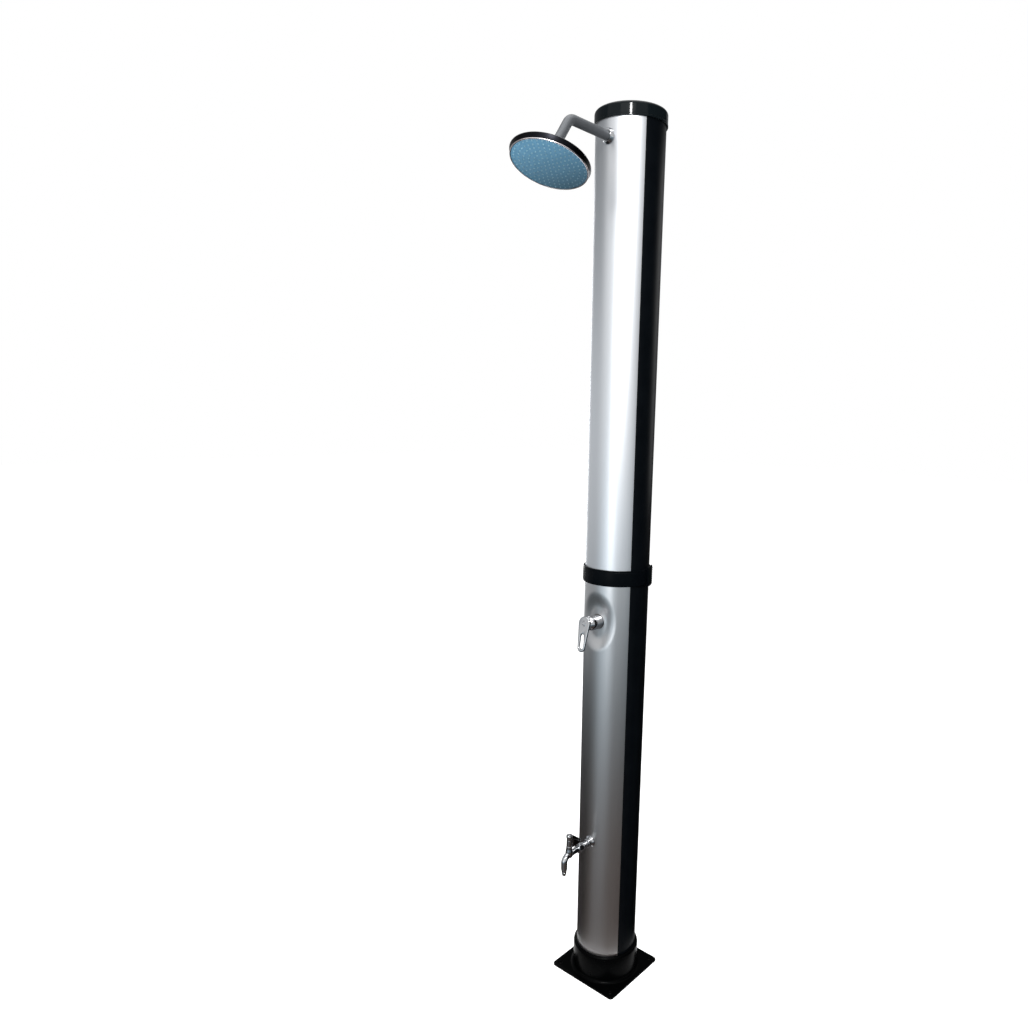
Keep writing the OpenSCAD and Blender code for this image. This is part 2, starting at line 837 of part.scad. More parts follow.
// Outline of the lever, upper round at the origin and lower round below it
module drop_outline(r1, r2, len) {
    a = acos((r1 - r2) / len);
    circle(r = r1);
    translate([0, -len]) circle(r = r2);
    polygon([
        [r1 * sin(a), -r1 * cos(a)], [r2 * sin(a), -len - r2 * cos(a)],
        [-r2 * sin(a), -len - r2 * cos(a)], [-r1 * sin(a), -r1 * cos(a)]
    ]);
}

module mixer_lever() {
    skirt_in = dome_r + skirt_gap;
    skirt_r = skirt_in + skirt_wall;
    low = lever_dist - lever_t / 2;
    color([0.87, 0.88, 0.9]) at_stem() difference() {
        union() {
            translate([0, 0, low]) linear_extrude(lever_t) difference() {
                drop_outline(lever_top_r, lever_end_r, lever_len);
                translate([0, -slot_start]) circle(r = slot_r);
                translate([0, -slot_end]) circle(r = slot_r);
                translate([-slot_r, -slot_end]) square([2 * slot_r, slot_end - slot_start]);
            }
            intersection() {
                sphere(r = skirt_r);
                cylinder(r1 = 0, r2 = skirt_r * tan(skirt_half), h = skirt_r);
            }
            translate([0, 0, skirt_in]) cylinder(r = hub_r, h = low - skirt_in + fit);
        }
        sphere(r = skirt_in);
        cylinder(r = stem_r + fit / 2, h = stem_tip + fit);
        cylinder(r = lever_screw_r + fit, h = 2 * lever_dist);
        translate([0, 0, stem_tip + 2 * lever_screw_r]) cylinder(r = index_r + fit, h = lever_dist);
    }
}

// Stem with its eye round the pivot pin
module lever_stem() {
    color([0.65, 0.65, 0.67]) at_stem() difference() {
        union() {
            translate([-eye_half, 0, 0]) rotate([0, 90, 0]) cylinder(r = eye_r, h = 2 * eye_half);
            translate([-eye_half, -stem_r, 0]) cube([2 * eye_half, 2 * stem_r, stem_start + fit]);
            translate([0, 0, stem_start]) cylinder(r = stem_r, h = stem_tip - stem_start);
        }
        translate([-eye_half - over, 0, 0]) rotate([0, 90, 0])
            cylinder(r = pin_r + run, h = 2 * eye_half + 2 * over);
        translate([0, 0, stem_start + stem_r]) cylinder(r = lever_screw_r + fit, h = stem_tip);
    }
}

module lever_screw() {
    head = stem_tip + 2 * lever_screw_r + fit;
    color([0.5, 0.5, 0.52]) at_stem() {
        translate([0, 0, stem_start + stem_r + fit])
            cylinder(r = lever_screw_r, h = head - stem_start - stem_r);
        translate([0, 0, head]) cylinder(r = lever_screw_head_r, h = lever_screw_r);
    }
}

module index_cap() {
    face = lever_dist + lever_t / 2;
    color([0.75, 0.76, 0.78]) at_stem() translate([0, 0, face - index_t])
        cylinder(r = index_r, h = index_t + fit);
}

module tap_flange() {
    color([0.85, 0.86, 0.88]) front(col_r + fit, tap_z) difference() {
        union() {
            cylinder(r1 = tap_flange_r, r2 = tap_sleeve_r, h = tap_flange_t);
            cylinder(r = tap_sleeve_r, h = tap_sleeve_end - col_r - fit);
        }
        translate([0, 0, -over]) cylinder(r = tap_shank_r + fit, h = tap_sleeve_end);
    }
}

// Cast body with shank, nut, valve chamber and curved spout
module tap_body() {
    from = fitting_out + elbow_deep / 2 + fit;
    bend_out = spout_bend_r + valve_out - spout_r + over;
    drop = tap_z - spout_bend_r - nozzle_z - nozzle_len;
    color([0.85, 0.86, 0.88]) difference() {
        union() {
            front(from, tap_z) cylinder(r = tap_shank_r, h = valve_out - from);
            front(tap_sleeve_end + fit, tap_z)
                cylinder(r = tap_neck_r, h = valve_out - tap_sleeve_end - fit);
            front(tap_nut_to - tap_nut_t, tap_z) cylinder(r = tap_nut_r, h = tap_nut_t, $fn = 6);
            translate([0, -valve_out, tap_z - valve_low]) cylinder(r = valve_r, h = valve_low + valve_top);
            front(valve_out, tap_z)
                cylinder(r = spout_r, h = bend_out - spout_bend_r - valve_out + spout_r);
            translate([0, -bend_out + spout_r, tap_z - spout_bend_r]) rotate([0, 0, -90]) rotate([90, 0, 0])
                rotate_extrude(angle = 90) translate([spout_bend_r, 0]) circle(r = spout_r);
            translate([0, -bend_out - spout_bend_r + spout_r, tap_z - spout_bend_r - drop])
                cylinder(r = spout_r, h = drop);
        }
        front(from - over, tap_z) cylinder(r = tap_bore, h = valve_out - from + over);
        translate([0, -valve_out, tap_z]) cylinder(r = tap_bore + tap_stem_r / 4, h = valve_top + over);
        front(valve_out, tap_z) cylinder(r = tap_bore, h = bend_out - valve_out - spout_r);
        translate([0, -bend_out + spout_r, tap_z - spout_bend_r]) rotate([0, 0, -90]) rotate([90, 0, 0])
            rotate_extrude(angle = 90) translate([spout_bend_r, 0]) circle(r = tap_bore);
        translate([0, -bend_out - spout_bend_r + spout_r, tap_z - spout_bend_r - drop - over])
            cylinder(r = tap_bore, h = drop + over);
    }
}

module tap_bonnet() {
    color([0.82, 0.83, 0.85]) translate([0, -valve_out, tap_z + valve_top])
        tube(bonnet_r, tap_stem_r + run, bonnet_h);
}

module tap_nozzle() {
    out = valve_out + over + spout_bend_r - spout_r + spout_bend_r - spout_r;
    color([0.8, 0.81, 0.83]) translate([0, -out, nozzle_z]) difference() {
        cylinder(r1 = nozzle_tip_r, r2 = spout_r - fit, h = nozzle_len);
        translate([0, 0, -over]) cylinder(r = nozzle_tip_r / 2, h = nozzle_len + 2 * over);
    }
}

module tap_spindle() {
    base = tap_z + valve_top;
    color([0.65, 0.65, 0.67]) translate([0, -valve_out, 0]) difference() {
        translate([0, 0, base - tap_stem_foot])
            cylinder(r = tap_stem_r, h = tap_stem_foot + bonnet_h + handle_hub_h / 2);
        translate([0, 0, base + bonnet_h]) cylinder(r = tap_screw_r + fit, h = handle_hub_h);
    }
}

// Flared hub with one webbed blade that slopes down towards the column
module tap_handle() {
    foot = tap_z + valve_top + bonnet_h + ball_gap;
    mid = handle_hub_h / 2;
    blade_top = handle_hub_h - over / 4;
    web_low = tap_z + tap_nut_r + web_gap - foot;
    web_from = valve_r + web_gap / 2;
    color([0.85, 0.86, 0.88]) difference() {
        union() {
            translate([0, -valve_out, foot]) cylinder(r1 = bonnet_r, r2 = handle_hub_r, h = handle_hub_h);
            translate([-blade_w / 2, -valve_out, foot]) rotate([90, 0, 90]) linear_extrude(blade_w)
                polygon([
                    [0, handle_hub_h - blade_t - over], [handle_reach, mid - blade_drop],
                    [handle_reach, mid - blade_drop + blade_t], [handle_hub_r, blade_top], [0, blade_top]
                ]);
            translate([-web_w / 2, -valve_out, foot]) rotate([90, 0, 90]) linear_extrude(web_w)
                polygon([
                    [web_from, web_low], [handle_reach, web_low],
                    [handle_reach, mid - blade_drop + blade_t / 2], [web_from, mid]
                ]);
        }
        translate([0, -valve_out, foot - over]) cylinder(r = tap_stem_r + fit / 2, h = over + mid + fit);
        translate([0, -valve_out, foot]) cylinder(r = tap_screw_r + fit, h = 2 * handle_hub_h);
    }
}

module tap_screw() {
    foot = tap_z + valve_top + bonnet_h + ball_gap;
    color([0.6, 0.6, 0.62]) translate([0, -valve_out, 0]) {
        translate([0, 0, foot + fit]) cylinder(r = tap_screw_r, h = handle_hub_h);
        translate([0, 0, foot + handle_hub_h + fit]) cylinder(r = tap_screw_head_r, h = tap_screw_head_t);
    }
}

module arm_flange() {
    color([0.8, 0.81, 0.83]) front(col_r + fit, arm_z) difference() {
        cylinder(r1 = arm_flange_r, r2 = arm_flange_neck, h = arm_flange_t);
        translate([0, 0, -over]) cylinder(r = arm_r + fit, h = arm_flange_t + 2 * over);
    }
}

// Path of the arm as a rod of radius r, whose bend is a hair thinner and laps into its straights
module arm_rod(r, extra) {
    turn = 90 - arm_angle;
    tangent = arm_bend_r * tan(turn / 2);
    from = fitting_out + elbow_deep / 2 + fit - extra;
    front(from, arm_z) cylinder(r = r, h = arm_reach - tangent - from + bend_lap);
    translate([0, -arm_reach + tangent, arm_z - arm_bend_r]) rotate([0, 0, -90]) rotate([90, 0, 0])
        rotate([0, 0, arm_angle]) rotate_extrude(angle = turn) translate([arm_bend_r, 0])
            circle(r = r - bend_step);
    translate([0, -arm_end_out, arm_end_z]) rotate([-arm_angle, 0, 0]) translate([0, 0, -extra])
        cylinder(r = r, h = arm_drop - tangent + extra + bend_lap);
}

module shower_arm() {
    color([0.62, 0.62, 0.64]) difference() {
        arm_rod(arm_r, 0);
        arm_rod(arm_r - arm_wall, over);
    }
}

// Places children at the ball's centre, +Z back along the arm's end or along the head's axis
module at_ball(angle) { translate([0, -ball_out, ball_z]) rotate([-angle, 0, 0]) children(); }

module ball_stud() {
    color([0.8, 0.81, 0.83]) at_ball(arm_angle) difference() {
        union() {
            sphere(r = ball_r);
            cylinder(r = ball_neck_r, h = ball_off);
            translate([0, 0, ball_off - ball_collar]) cylinder(r = arm_r, h = ball_collar - fit);
            translate([0, 0, ball_off - ball_collar])
                cylinder(r = arm_r - arm_wall - fit, h = ball_collar + ball_tail);
        }
        translate([0, 0, -ball_r - over])
            cylinder(r = ball_bore, h = ball_r + ball_off + ball_tail + 2 * over);
    }
}

module ball_seat() {
    r_in = ball_r + ball_gap;
    color([0.15, 0.15, 0.16]) at_ball(head_angle) difference() {
        intersection() {
            sphere(r = r_in + seat_wall);
            translate([0, 0, seat_from]) cylinder(r = nut_out_r, h = seat_to - seat_from);
        }
        sphere(r = r_in);
    }
}

module swivel_nut() {
    r_in = ball_r + seat_wall + 2 * ball_gap;
    color([0.8, 0.81, 0.83]) at_ball(head_angle) difference() {
        translate([0, 0, -nut_low]) cylinder(r = nut_out_r, h = nut_low + nut_top, $fn = 6);
        sphere(r = r_in);
        translate([0, 0, -nut_low - over]) cylinder(r = neck_r + run, h = nut_low - nut_land + over);
        cylinder(r1 = 0, r2 = 2 * nut_top * tan(nut_mouth), h = 2 * nut_top);
    }
}

// Back shell of the head, with the water way through its neck
module head_shell() {
    face = -head_depth;
    rim = face + head_rim;
    shell_r = head_r + shell_flare;
    color([0.35, 0.36, 0.38]) at_ball(head_angle) difference() {
        rotate_extrude() polygon([
            [0, -neck_top], [ball_r + 2 * ball_gap, -neck_top], [neck_r, -neck_top - neck_slope],
            [neck_r, -shell_hub_z], [shell_hub_r, -shell_hub_z],
            [shell_r - shell_wall, rim], [shell_r, rim - shell_wall], [head_r, face + shell_wall / 2],
            [0, face + shell_wall / 2]
        ]);
        rotate_extrude() polygon([
            [0, -shell_hub_z - shell_wall], [shell_hub_r, -shell_hub_z - shell_wall],
            [head_r - 2 * shell_wall, rim - shell_wall - face_set],
            [head_r - shell_wall, face + head_rim / 2],
            [head_r - shell_wall, face - over], [0, face - over]
        ]);
        sphere(r = ball_r + 2 * ball_gap);
        translate([0, 0, -shell_hub_z - 2 * shell_wall])
            cylinder(r = neck_r - 2 * neck_wall, h = shell_hub_z);
    }
}

// Places children at every nozzle
module nozzle_grid() {
    for (ring = [1 : nozzle_rings], i = [0 : 6 * ring - 1]) rotate([0, 0, i * 60 / ring])
        translate([ring * nozzle_step, 0, 0]) children();
    children();
}

module nozzle_mat() {
    back = -head_depth + face_set + plate_face_t;
    color([0.3, 0.5, 0.58]) at_ball(head_angle) {
        translate([0, 0, back + fit]) cylinder(r = head_r - shell_wall - fit, h = mat_t);
        translate([0, 0, -head_depth + face_set - nub_out]) nozzle_grid()
            cylinder(r = nub_r, h = plate_face_t + nub_out + 2 * fit);
    }
}

module head_plate() {
    color([0.24, 0.42, 0.5]) at_ball(head_angle) translate([0, 0, -head_depth + face_set]) difference() {
        cylinder(r = head_r - shell_wall - fit, h = plate_face_t);
        translate([0, 0, -over]) nozzle_grid() cylinder(r = nub_r + fit, h = plate_face_t + 2 * over);
    }
}

module trim_ring() {
    color([0.8, 0.76, 0.76]) at_ball(head_angle) translate([0, 0, -head_depth - face_set]) difference() {
        cylinder(r = head_r, h = face_set + shell_wall / 2 - fit);
        translate([0, 0, -over]) cylinder(r = trim_in, h = head_rim);
        translate([0, 0, 2 * face_set - fit]) cylinder(r = head_r - shell_wall, h = head_rim);
    }
}

base_foot();
collar_screws();
lower_tank();
lower_tank_floor();
lower_tank_lid();
lower_panel();
upper_tank();
upper_tank_floor();
upper_tank_lid();
upper_panel();
top_cap();
joint_gasket();
joint_core();
joint_nipple();
nipple_seals();
joint_band();
band_lug();
band_screw();
inlet_connector();
inlet_seal();
inlet_nut();
inlet_manifold();
fill_seal();
drain_plug();
drain_seal();
brackets();
cold_hose();
tap_hose();
hot_hose();
riser_hose();
hot_elbow();
hot_elbow_nut();
mixer_body();
mixer_sleeve();
cartridge_body();
cartridge_spindle();
cartridge_pin();
mixer_dome();
mixer_lever();
lever_stem();
lever_screw();
index_cap();
tap_elbow();
tap_flange();
tap_body();
tap_bonnet();
tap_nozzle();
tap_spindle();
tap_handle();
tap_screw();
arm_elbow();
arm_flange();
shower_arm();
ball_stud();
ball_seat();
swivel_nut();
head_shell();
nozzle_mat();
head_plate();
trim_ring();
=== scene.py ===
import bpy
import bmesh
import math
from mathutils import Matrix, Vector


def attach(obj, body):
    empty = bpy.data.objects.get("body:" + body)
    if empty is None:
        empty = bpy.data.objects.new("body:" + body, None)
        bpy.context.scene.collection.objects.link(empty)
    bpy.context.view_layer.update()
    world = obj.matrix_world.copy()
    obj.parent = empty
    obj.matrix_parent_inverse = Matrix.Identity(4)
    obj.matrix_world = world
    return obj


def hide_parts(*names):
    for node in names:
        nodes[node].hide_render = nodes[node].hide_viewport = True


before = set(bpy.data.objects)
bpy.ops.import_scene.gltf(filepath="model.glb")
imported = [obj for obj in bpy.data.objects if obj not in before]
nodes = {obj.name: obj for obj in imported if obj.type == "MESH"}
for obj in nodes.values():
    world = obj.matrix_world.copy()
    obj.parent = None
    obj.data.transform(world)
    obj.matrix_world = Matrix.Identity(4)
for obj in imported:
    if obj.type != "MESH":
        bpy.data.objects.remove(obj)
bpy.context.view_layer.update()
mm = 0.001
weld = 0.002 * mm  # points nearer than this are one point
near = 0.01 * mm  # room for rounding where edges are found by their place
print("frame loaded with", len(nodes), "nodes")


# working helpers, where every size is in mm and every angle in degrees

def editMode():
    bpy.ops.object.mode_set(mode="EDIT")


def objectMode():
    bpy.ops.object.mode_set(mode="OBJECT")


def clearSelection():
    if bpy.context.object and bpy.context.object.mode != "OBJECT":
        objectMode()
    bpy.ops.object.select_all(action="DESELECT")


def pickOnly(piece):
    clearSelection()
    piece.select_set(True)
    bpy.context.view_layer.objects.active = piece


def named(name):
    piece = bpy.context.object
    piece.name = name
    piece.data.name = name
    return piece


def selectWhere(piece, test, kind="FACE"):
    # in edit mode, selects the faces, edges or vertices whose middle passes the test
    bpy.ops.mesh.select_mode(type=kind)
    bpy.ops.mesh.select_all(action="DESELECT")
    sculpt = bmesh.from_edit_mesh(piece.data)
    if kind == "VERT":
        for v in sculpt.verts:
            v.select_set(test(v.co))
    elif kind == "EDGE":
        for e in sculpt.edges:
            e.select_set(test((e.verts[0].co + e.verts[1].co) / 2, e.verts[0].co - e.verts[1].co))
    else:
        for f in sculpt.faces:
            f.select_set(test(f.calc_center_median(), f.normal))
    sculpt.select_flush_mode()
    bmesh.update_edit_mesh(piece.data)


def upright(middle, along):
    return abs(along.z) > mm


def selectAll():
    bpy.ops.mesh.select_all(action="SELECT")


def applyPlace():
    bpy.ops.object.transform_apply(location=True, rotation=True, scale=True)


def extrudeBy(step):
    bpy.ops.mesh.extrude_region_move(TRANSFORM_OT_translate={"value": step})


def roundEdges(radius, steps, clamp=False):
    bpy.ops.mesh.bevel(offset=radius * mm, segments=steps, profile=0.5, affect="EDGES",
                       clamp_overlap=clamp)


def weldPoints(distance=weld):
    bpy.ops.mesh.remove_doubles(threshold=distance)


def faceOutwards():
    bpy.ops.mesh.normals_make_consistent(inside=False)


def shifted(x, y, z):
    return Matrix.Translation((x * mm, y * mm, z * mm))


def spun(degrees, axis):
    return Matrix.Rotation(math.radians(degrees), 4, axis)


def placeFront(out, height):
    # local +Z points to the front, from a distance in front of the column's axis
    return shifted(0, -out, height) @ spun(90, "X")


def placeRear(out, height):
    return shifted(0, out, height) @ spun(-90, "X")


def placeUp(out, height):
    return shifted(0, -out, height)


def fixPlace(piece, matrix):
    # writes a place into a new mesh
    pickOnly(piece)
    piece.matrix_world = matrix
    applyPlace()


def settle(piece, matrix=None, smoothAngle=32):
    # writes the place into the mesh and shades the piece
    pickOnly(piece)
    if matrix:
        piece.matrix_world = matrix @ piece.matrix_world
    applyPlace()
    bpy.ops.object.shade_smooth_by_angle(angle=math.radians(smoothAngle))
    return piece


def applied(piece, kind, **settings):
    pickOnly(piece)
    modifier = piece.modifiers.new(kind.title(), kind)
    for key, value in settings.items():
        setattr(modifier, key, value)
    bpy.ops.object.modifier_apply(modifier=modifier.name)
    return piece


def cutWith(piece, cutter, operation="DIFFERENCE"):
    applied(piece, "BOOLEAN", object=cutter, operation=operation, solver="EXACT")
    pickOnly(cutter)
    bpy.ops.object.delete()
    return piece


def joined(pieces, name):
    clearSelection()
    for piece in pieces:
        piece.select_set(True)
    bpy.context.view_layer.objects.active = pieces[0]
    bpy.ops.object.join()
    return named(name)


def softCorners(corners, closed, steps):
    # corners are (radius, height, rounding) in mm, and each rounding becomes an arc
    points = []
    count = len(corners)
    for i, (r, z, rounding) in enumerate(corners):
        here = Vector((r, z))
        if not rounding or (not closed and i in (0, count - 1)):
            points.append(here)
            continue
        before = (Vector(corners[i - 1][:2]) - here).normalized()
        after = (Vector(corners[(i + 1) % count][:2]) - here).normalized()
        half = before.angle(after) / 2
        centre = here + (before + after).normalized() * rounding / math.sin(half)
        start = here + before * rounding / math.tan(half) - centre
        end = here + after * rounding / math.tan(half) - centre
        sweep = start.angle_signed(end)
        for s in range(steps + 1):
            spoke = start.copy()
            spoke.rotate(Matrix.Rotation(-sweep * s / steps, 2))
            points.append(centre + spoke)
    if closed:
        points.append(points[0])
    return points


def drawLine(name, points):
    # one vertex, extruded from point to point in the XZ plane
    clearSelection()
    bpy.ops.mesh.primitive_plane_add(size=mm, location=(0, 0, 0))
    line = named(name)
    editMode()
    bpy.ops.mesh.select_mode(type="VERT")
    selectAll()
    bpy.ops.mesh.merge(type="CENTER")
    bpy.ops.transform.translate(value=(points[0][0] * mm, 0, points[0][1] * mm))
    for a, b in zip(points, points[1:]):
        step = ((b[0] - a[0]) * mm, 0, (b[1] - a[1]) * mm)
        extrudeBy(step)
    return line


def turned(name, corners, matrix=None, closed=False, segments=96, steps=6, sweep=360, smoothAngle=32):
    # a profile drawn as a line and spun round Z
    piece = drawLine(name, softCorners(corners, closed, steps))
    selectAll()
    bpy.ops.mesh.spin(steps=segments, angle=math.radians(sweep), center=(0, 0, 0), axis=(0, 0, 1))
    selectAll()
    weldPoints()
    if sweep < 360:
        bpy.ops.mesh.select_non_manifold(extend=False)
        bpy.ops.mesh.fill_holes(sides=0)
        selectAll()
    faceOutwards()
    objectMode()
    return settle(piece, matrix, smoothAngle)


def slab(name, points, thickness, edge=0, edgeSteps=4):
    # a closed outline in the XZ plane, filled, raised along -Y and rounded along both rims
    piece = drawLine(name, points + [points[0]])
    selectAll()
    weldPoints()
    bpy.ops.mesh.edge_face_add()
    extrudeBy((0, -thickness * mm, 0))
    selectAll()
    faceOutwards()
    if edge:
        selectWhere(piece, lambda middle, along: abs(along.y) < near, "EDGE")
        roundEdges(edge, edgeSteps)
    objectMode()
    return piece


def stepped(start, *steps):
    # the profile of a stepped bore that starts at a height, each step with its radius and end
    profile = [(0, start, 0)]
    for radius, end in steps:
        profile += [(radius, profile[-1][1], 0), (radius, end, 0)]
    return profile + [(0, profile[-1][1], 0)]


def hexBlock(name, radius, bottom, top, low=(2.2, 1.6), high=(2.2, 1.6), soft=0, edge=0.6, edgeSteps=3):
    # a hexagon bar along Z, rounded along its edges and turned to a cone at its ends;
    # low and high say how far each cone reaches in and along
    clearSelection()
    bpy.ops.mesh.primitive_cylinder_add(vertices=6, radius=radius * mm, depth=(top - bottom) * mm,
                                        location=(0, 0, (top + bottom) / 2 * mm),
                                        rotation=(0, 0, math.radians(90)))
    piece = named(name)
    applyPlace()
    editMode()
    selectWhere(piece, upright, "EDGE")
    roundEdges(edge, edgeSteps)
    objectMode()
    trim = turned("trim", [
        (0, bottom - 1, 0), (radius - low[0], bottom - 1, 0), (radius + 1, bottom + low[1], soft),
        (radius + 1, top - high[1], soft), (radius - high[0], top + 1, 0), (0, top + 1, 0)])
    return cutWith(piece, trim, "INTERSECT")


def bentTube(name, radius, out, height, ahead, bend, turn, after, vertices=48, steps=18):
    # a round bar that leaves the column forwards and then turns down
    clearSelection()
    bpy.ops.mesh.primitive_circle_add(vertices=vertices, radius=radius * mm, fill_type="NGON",
                                      location=(0, -out * mm, height * mm),
                                      rotation=(math.radians(90), 0, 0))
    bar = named(name)
    applyPlace()
    editMode()
    selectAll()
    extrudeBy((0, -ahead * mm, 0))
    turn = math.radians(turn)
    bpy.ops.mesh.spin(steps=steps, angle=-turn, axis=(1, 0, 0),
                      center=(0, -(out + ahead) * mm, (height - bend) * mm))
    extrudeBy((0, -math.cos(turn) * after * mm, -math.sin(turn) * after * mm))
    selectAll()
    weldPoints()
    faceOutwards()
    objectMode()
    return bar


def copyOf(piece, name, matrix):
    other = piece.copy()
    other.data = piece.data.copy()
    other.name = name
    bpy.context.scene.collection.objects.link(other)
    other.data.transform(matrix)
    return other


# finishes

def newGroup(name, inputs, outputs):
    group = bpy.data.node_groups.new(name, "ShaderNodeTree")
    for label, kind, value in inputs:
        socket = group.interface.new_socket(label, in_out="INPUT", socket_type=kind)
        if value is not None:
            socket.default_value = value
    for label, kind in outputs:
        group.interface.new_socket(label, in_out="OUTPUT", socket_type=kind)
    return group, group.nodes.new("NodeGroupInput"), group.nodes.new("NodeGroupOutput")


def feed(tree, value, socket):
    # a number or a colour is set on the socket, and an output is linked to it
    if isinstance(value, tuple):
        socket.default_value = (*value, 1)
    elif isinstance(value, (int, float)):
        socket.default_value = value
    elif value:
        tree.links.new(value, socket)


def mathNode(tree, operation, a, b=None, clamp=False):
    node = tree.nodes.new("ShaderNodeMath")
    node.operation = operation
    node.use_clamp = clamp
    feed(tree, a, node.inputs[0])
    feed(tree, b, node.inputs[1])
    return node.outputs[0]


def vectorNode(tree, operation, a, b=None):
    node = tree.nodes.new("ShaderNodeVectorMath")
    node.operation = operation
    tree.links.new(a, node.inputs[0])
    if b:
        node.inputs[1].default_value = b
    return node.outputs


def splitAxes(tree, vector):
    node = tree.nodes.new("ShaderNodeSeparateXYZ")
    tree.links.new(vector, node.inputs[0])
    return node.outputs


def noiseNode(tree, place, scale, detail, roughness=0.5):
    node = tree.nodes.new("ShaderNodeTexNoise")
    tree.links.new(place, node.inputs["Vector"])
    for label, value in (("Scale", scale), ("Detail", detail), ("Roughness", roughness)):
        feed(tree, value, node.inputs[label])
    return node.outputs["Fac"]


def buildBrushing():
    # long fine lines along the mapped direction, with a slow cloud under them
    group, given, out = newGroup("rolledLines", [
        ("Place", "NodeSocketVector", None), ("Fineness", "NodeSocketFloat", 700.0),
        ("Cloud", "NodeSocketFloat", 9.0)],
        [("Mask", "NodeSocketFloat"), ("Height", "NodeSocketFloat")])
    lines = noiseNode(group, given.outputs["Place"], given.outputs["Fineness"], 3.0)
    cloud = noiseNode(group, given.outputs["Place"], given.outputs["Cloud"], 2.0)
    mixed = mathNode(group, "MULTIPLY", mathNode(group, "ADD", lines, cloud), 0.5)
    group.links.new(mixed, out.inputs["Mask"])
    group.links.new(lines, out.inputs["Height"])
    return group


def buildGrain():
    # the fine grain of a mould or a cast skin and its slow unevenness
    group, given, out = newGroup("mouldGrain", [
        ("Place", "NodeSocketVector", None), ("Fineness", "NodeSocketFloat", 2600.0),
        ("Flow", "NodeSocketFloat", 30.0)],
        [("Mask", "NodeSocketFloat"), ("Height", "NodeSocketFloat")])
    fine = noiseNode(group, given.outputs["Place"], given.outputs["Fineness"], 2.0)
    flow = noiseNode(group, given.outputs["Place"], given.outputs["Flow"], 3.0)
    height = mathNode(group, "ADD", mathNode(group, "MULTIPLY", fine, 0.4),
                      mathNode(group, "MULTIPLY", flow, 0.6))
    group.links.new(flow, out.inputs["Mask"])
    group.links.new(height, out.inputs["Height"])
    return group


film = {"tone": (0.36, 0.33, 0.28), "lying": 0.8, "splashTo": 0.35, "scale": 160.0, "detail": 5.0,
        "roughness": 0.65, "bareBelow": 0.35, "gain": 2.2}


def buildDust():
    # dust that lies on what faces up and a faint splash film towards the ground
    group, given, out = newGroup("gardenDust", [
        ("Place", "NodeSocketVector", None), ("Amount", "NodeSocketFloat", 0.1)],
        [("Mask", "NodeSocketFloat")])
    geometry = group.nodes.new("ShaderNodeNewGeometry")
    up = splitAxes(group, geometry.outputs["Normal"])["Z"]
    up = mathNode(group, "MULTIPLY", up, film["lying"], clamp=True)
    low = splitAxes(group, given.outputs["Place"])["Z"]
    low = mathNode(group, "SUBTRACT", film["splashTo"], low, clamp=True)
    where = mathNode(group, "ADD", up, low, clamp=True)
    speck = noiseNode(group, given.outputs["Place"], film["scale"], film["detail"], film["roughness"])
    speck = mathNode(group, "SUBTRACT", speck, film["bareBelow"], clamp=True)
    patchy = mathNode(group, "MULTIPLY", speck, film["gain"])
    mask = mathNode(group, "MULTIPLY", mathNode(group, "MULTIPLY", where, patchy), given.outputs["Amount"],
                    clamp=True)
    group.links.new(mask, out.inputs["Mask"])
    return group


rolledLines = buildBrushing()
mouldGrain = buildGrain()
gardenDust = buildDust()


def startMaterial(name):
    material = bpy.data.materials.new(name)
    material.use_nodes = True
    tree = material.node_tree
    shader = next(n for n in tree.nodes if n.type == "BSDF_PRINCIPLED")
    return material, tree, shader


def placed(tree, stretch=(1, 1, 1)):
    where = tree.nodes.new("ShaderNodeTexCoord")
    mapping = tree.nodes.new("ShaderNodeMapping")
    mapping.inputs["Scale"].default_value = stretch
    tree.links.new(where.outputs["Object"], mapping.inputs["Vector"])
    return mapping.outputs["Vector"]


def groupNode(tree, group, place, **values):
    node = tree.nodes.new("ShaderNodeGroup")
    node.node_tree = group
    tree.links.new(place, node.inputs["Place"])
    for label, value in values.items():
        node.inputs[label].default_value = value
    return node


def ranged(tree, value, low, high, first=0.0, last=1.0):
    # a value mapped from one range to another and held inside it
    node = tree.nodes.new("ShaderNodeMapRange")
    tree.links.new(value, node.inputs["Value"])
    for label, amount in (("From Min", low), ("From Max", high), ("To Min", first), ("To Max", last)):
        node.inputs[label].default_value = amount
    return node.outputs["Result"]


def blendColour(tree, mask, first, second):
    node = tree.nodes.new("ShaderNodeMix")
    node.data_type = "RGBA"
    tree.links.new(mask, node.inputs["Factor"])
    colours = [s for s in node.inputs if s.type == "RGBA"]
    feed(tree, first, colours[0])
    feed(tree, second, colours[1])
    return next(s for s in node.outputs if s.type == "RGBA")


def addBump(tree, shader, height, distance):
    bump = tree.nodes.new("ShaderNodeBump")
    bump.inputs["Distance"].default_value = distance * mm
    tree.links.new(height, bump.inputs["Height"])
    tree.links.new(bump.outputs["Normal"], shader.inputs["Normal"])


def metalFinish(name, dark, light, rough, stretch=(1, 1, 0.01), fineness=700.0, cloud=9.0, bump=0.004,
                dust=0.05, metal=1.0, specular=0.5):
    material, tree, shader = startMaterial(name)
    lines = groupNode(tree, rolledLines, placed(tree, stretch), Fineness=fineness, Cloud=cloud)
    splash = groupNode(tree, gardenDust, placed(tree), Amount=dust)
    colour = blendColour(tree, lines.outputs["Mask"], dark, light)
    colour = blendColour(tree, splash.outputs["Mask"], colour, film["tone"])
    tree.links.new(colour, shader.inputs["Base Color"])
    tree.links.new(ranged(tree, lines.outputs["Mask"], 0, 1, *rough), shader.inputs["Roughness"])
    shader.inputs["Metallic"].default_value = metal
    shader.inputs["Specular IOR Level"].default_value = specular
    addBump(tree, shader, lines.outputs["Height"], bump)
    return material


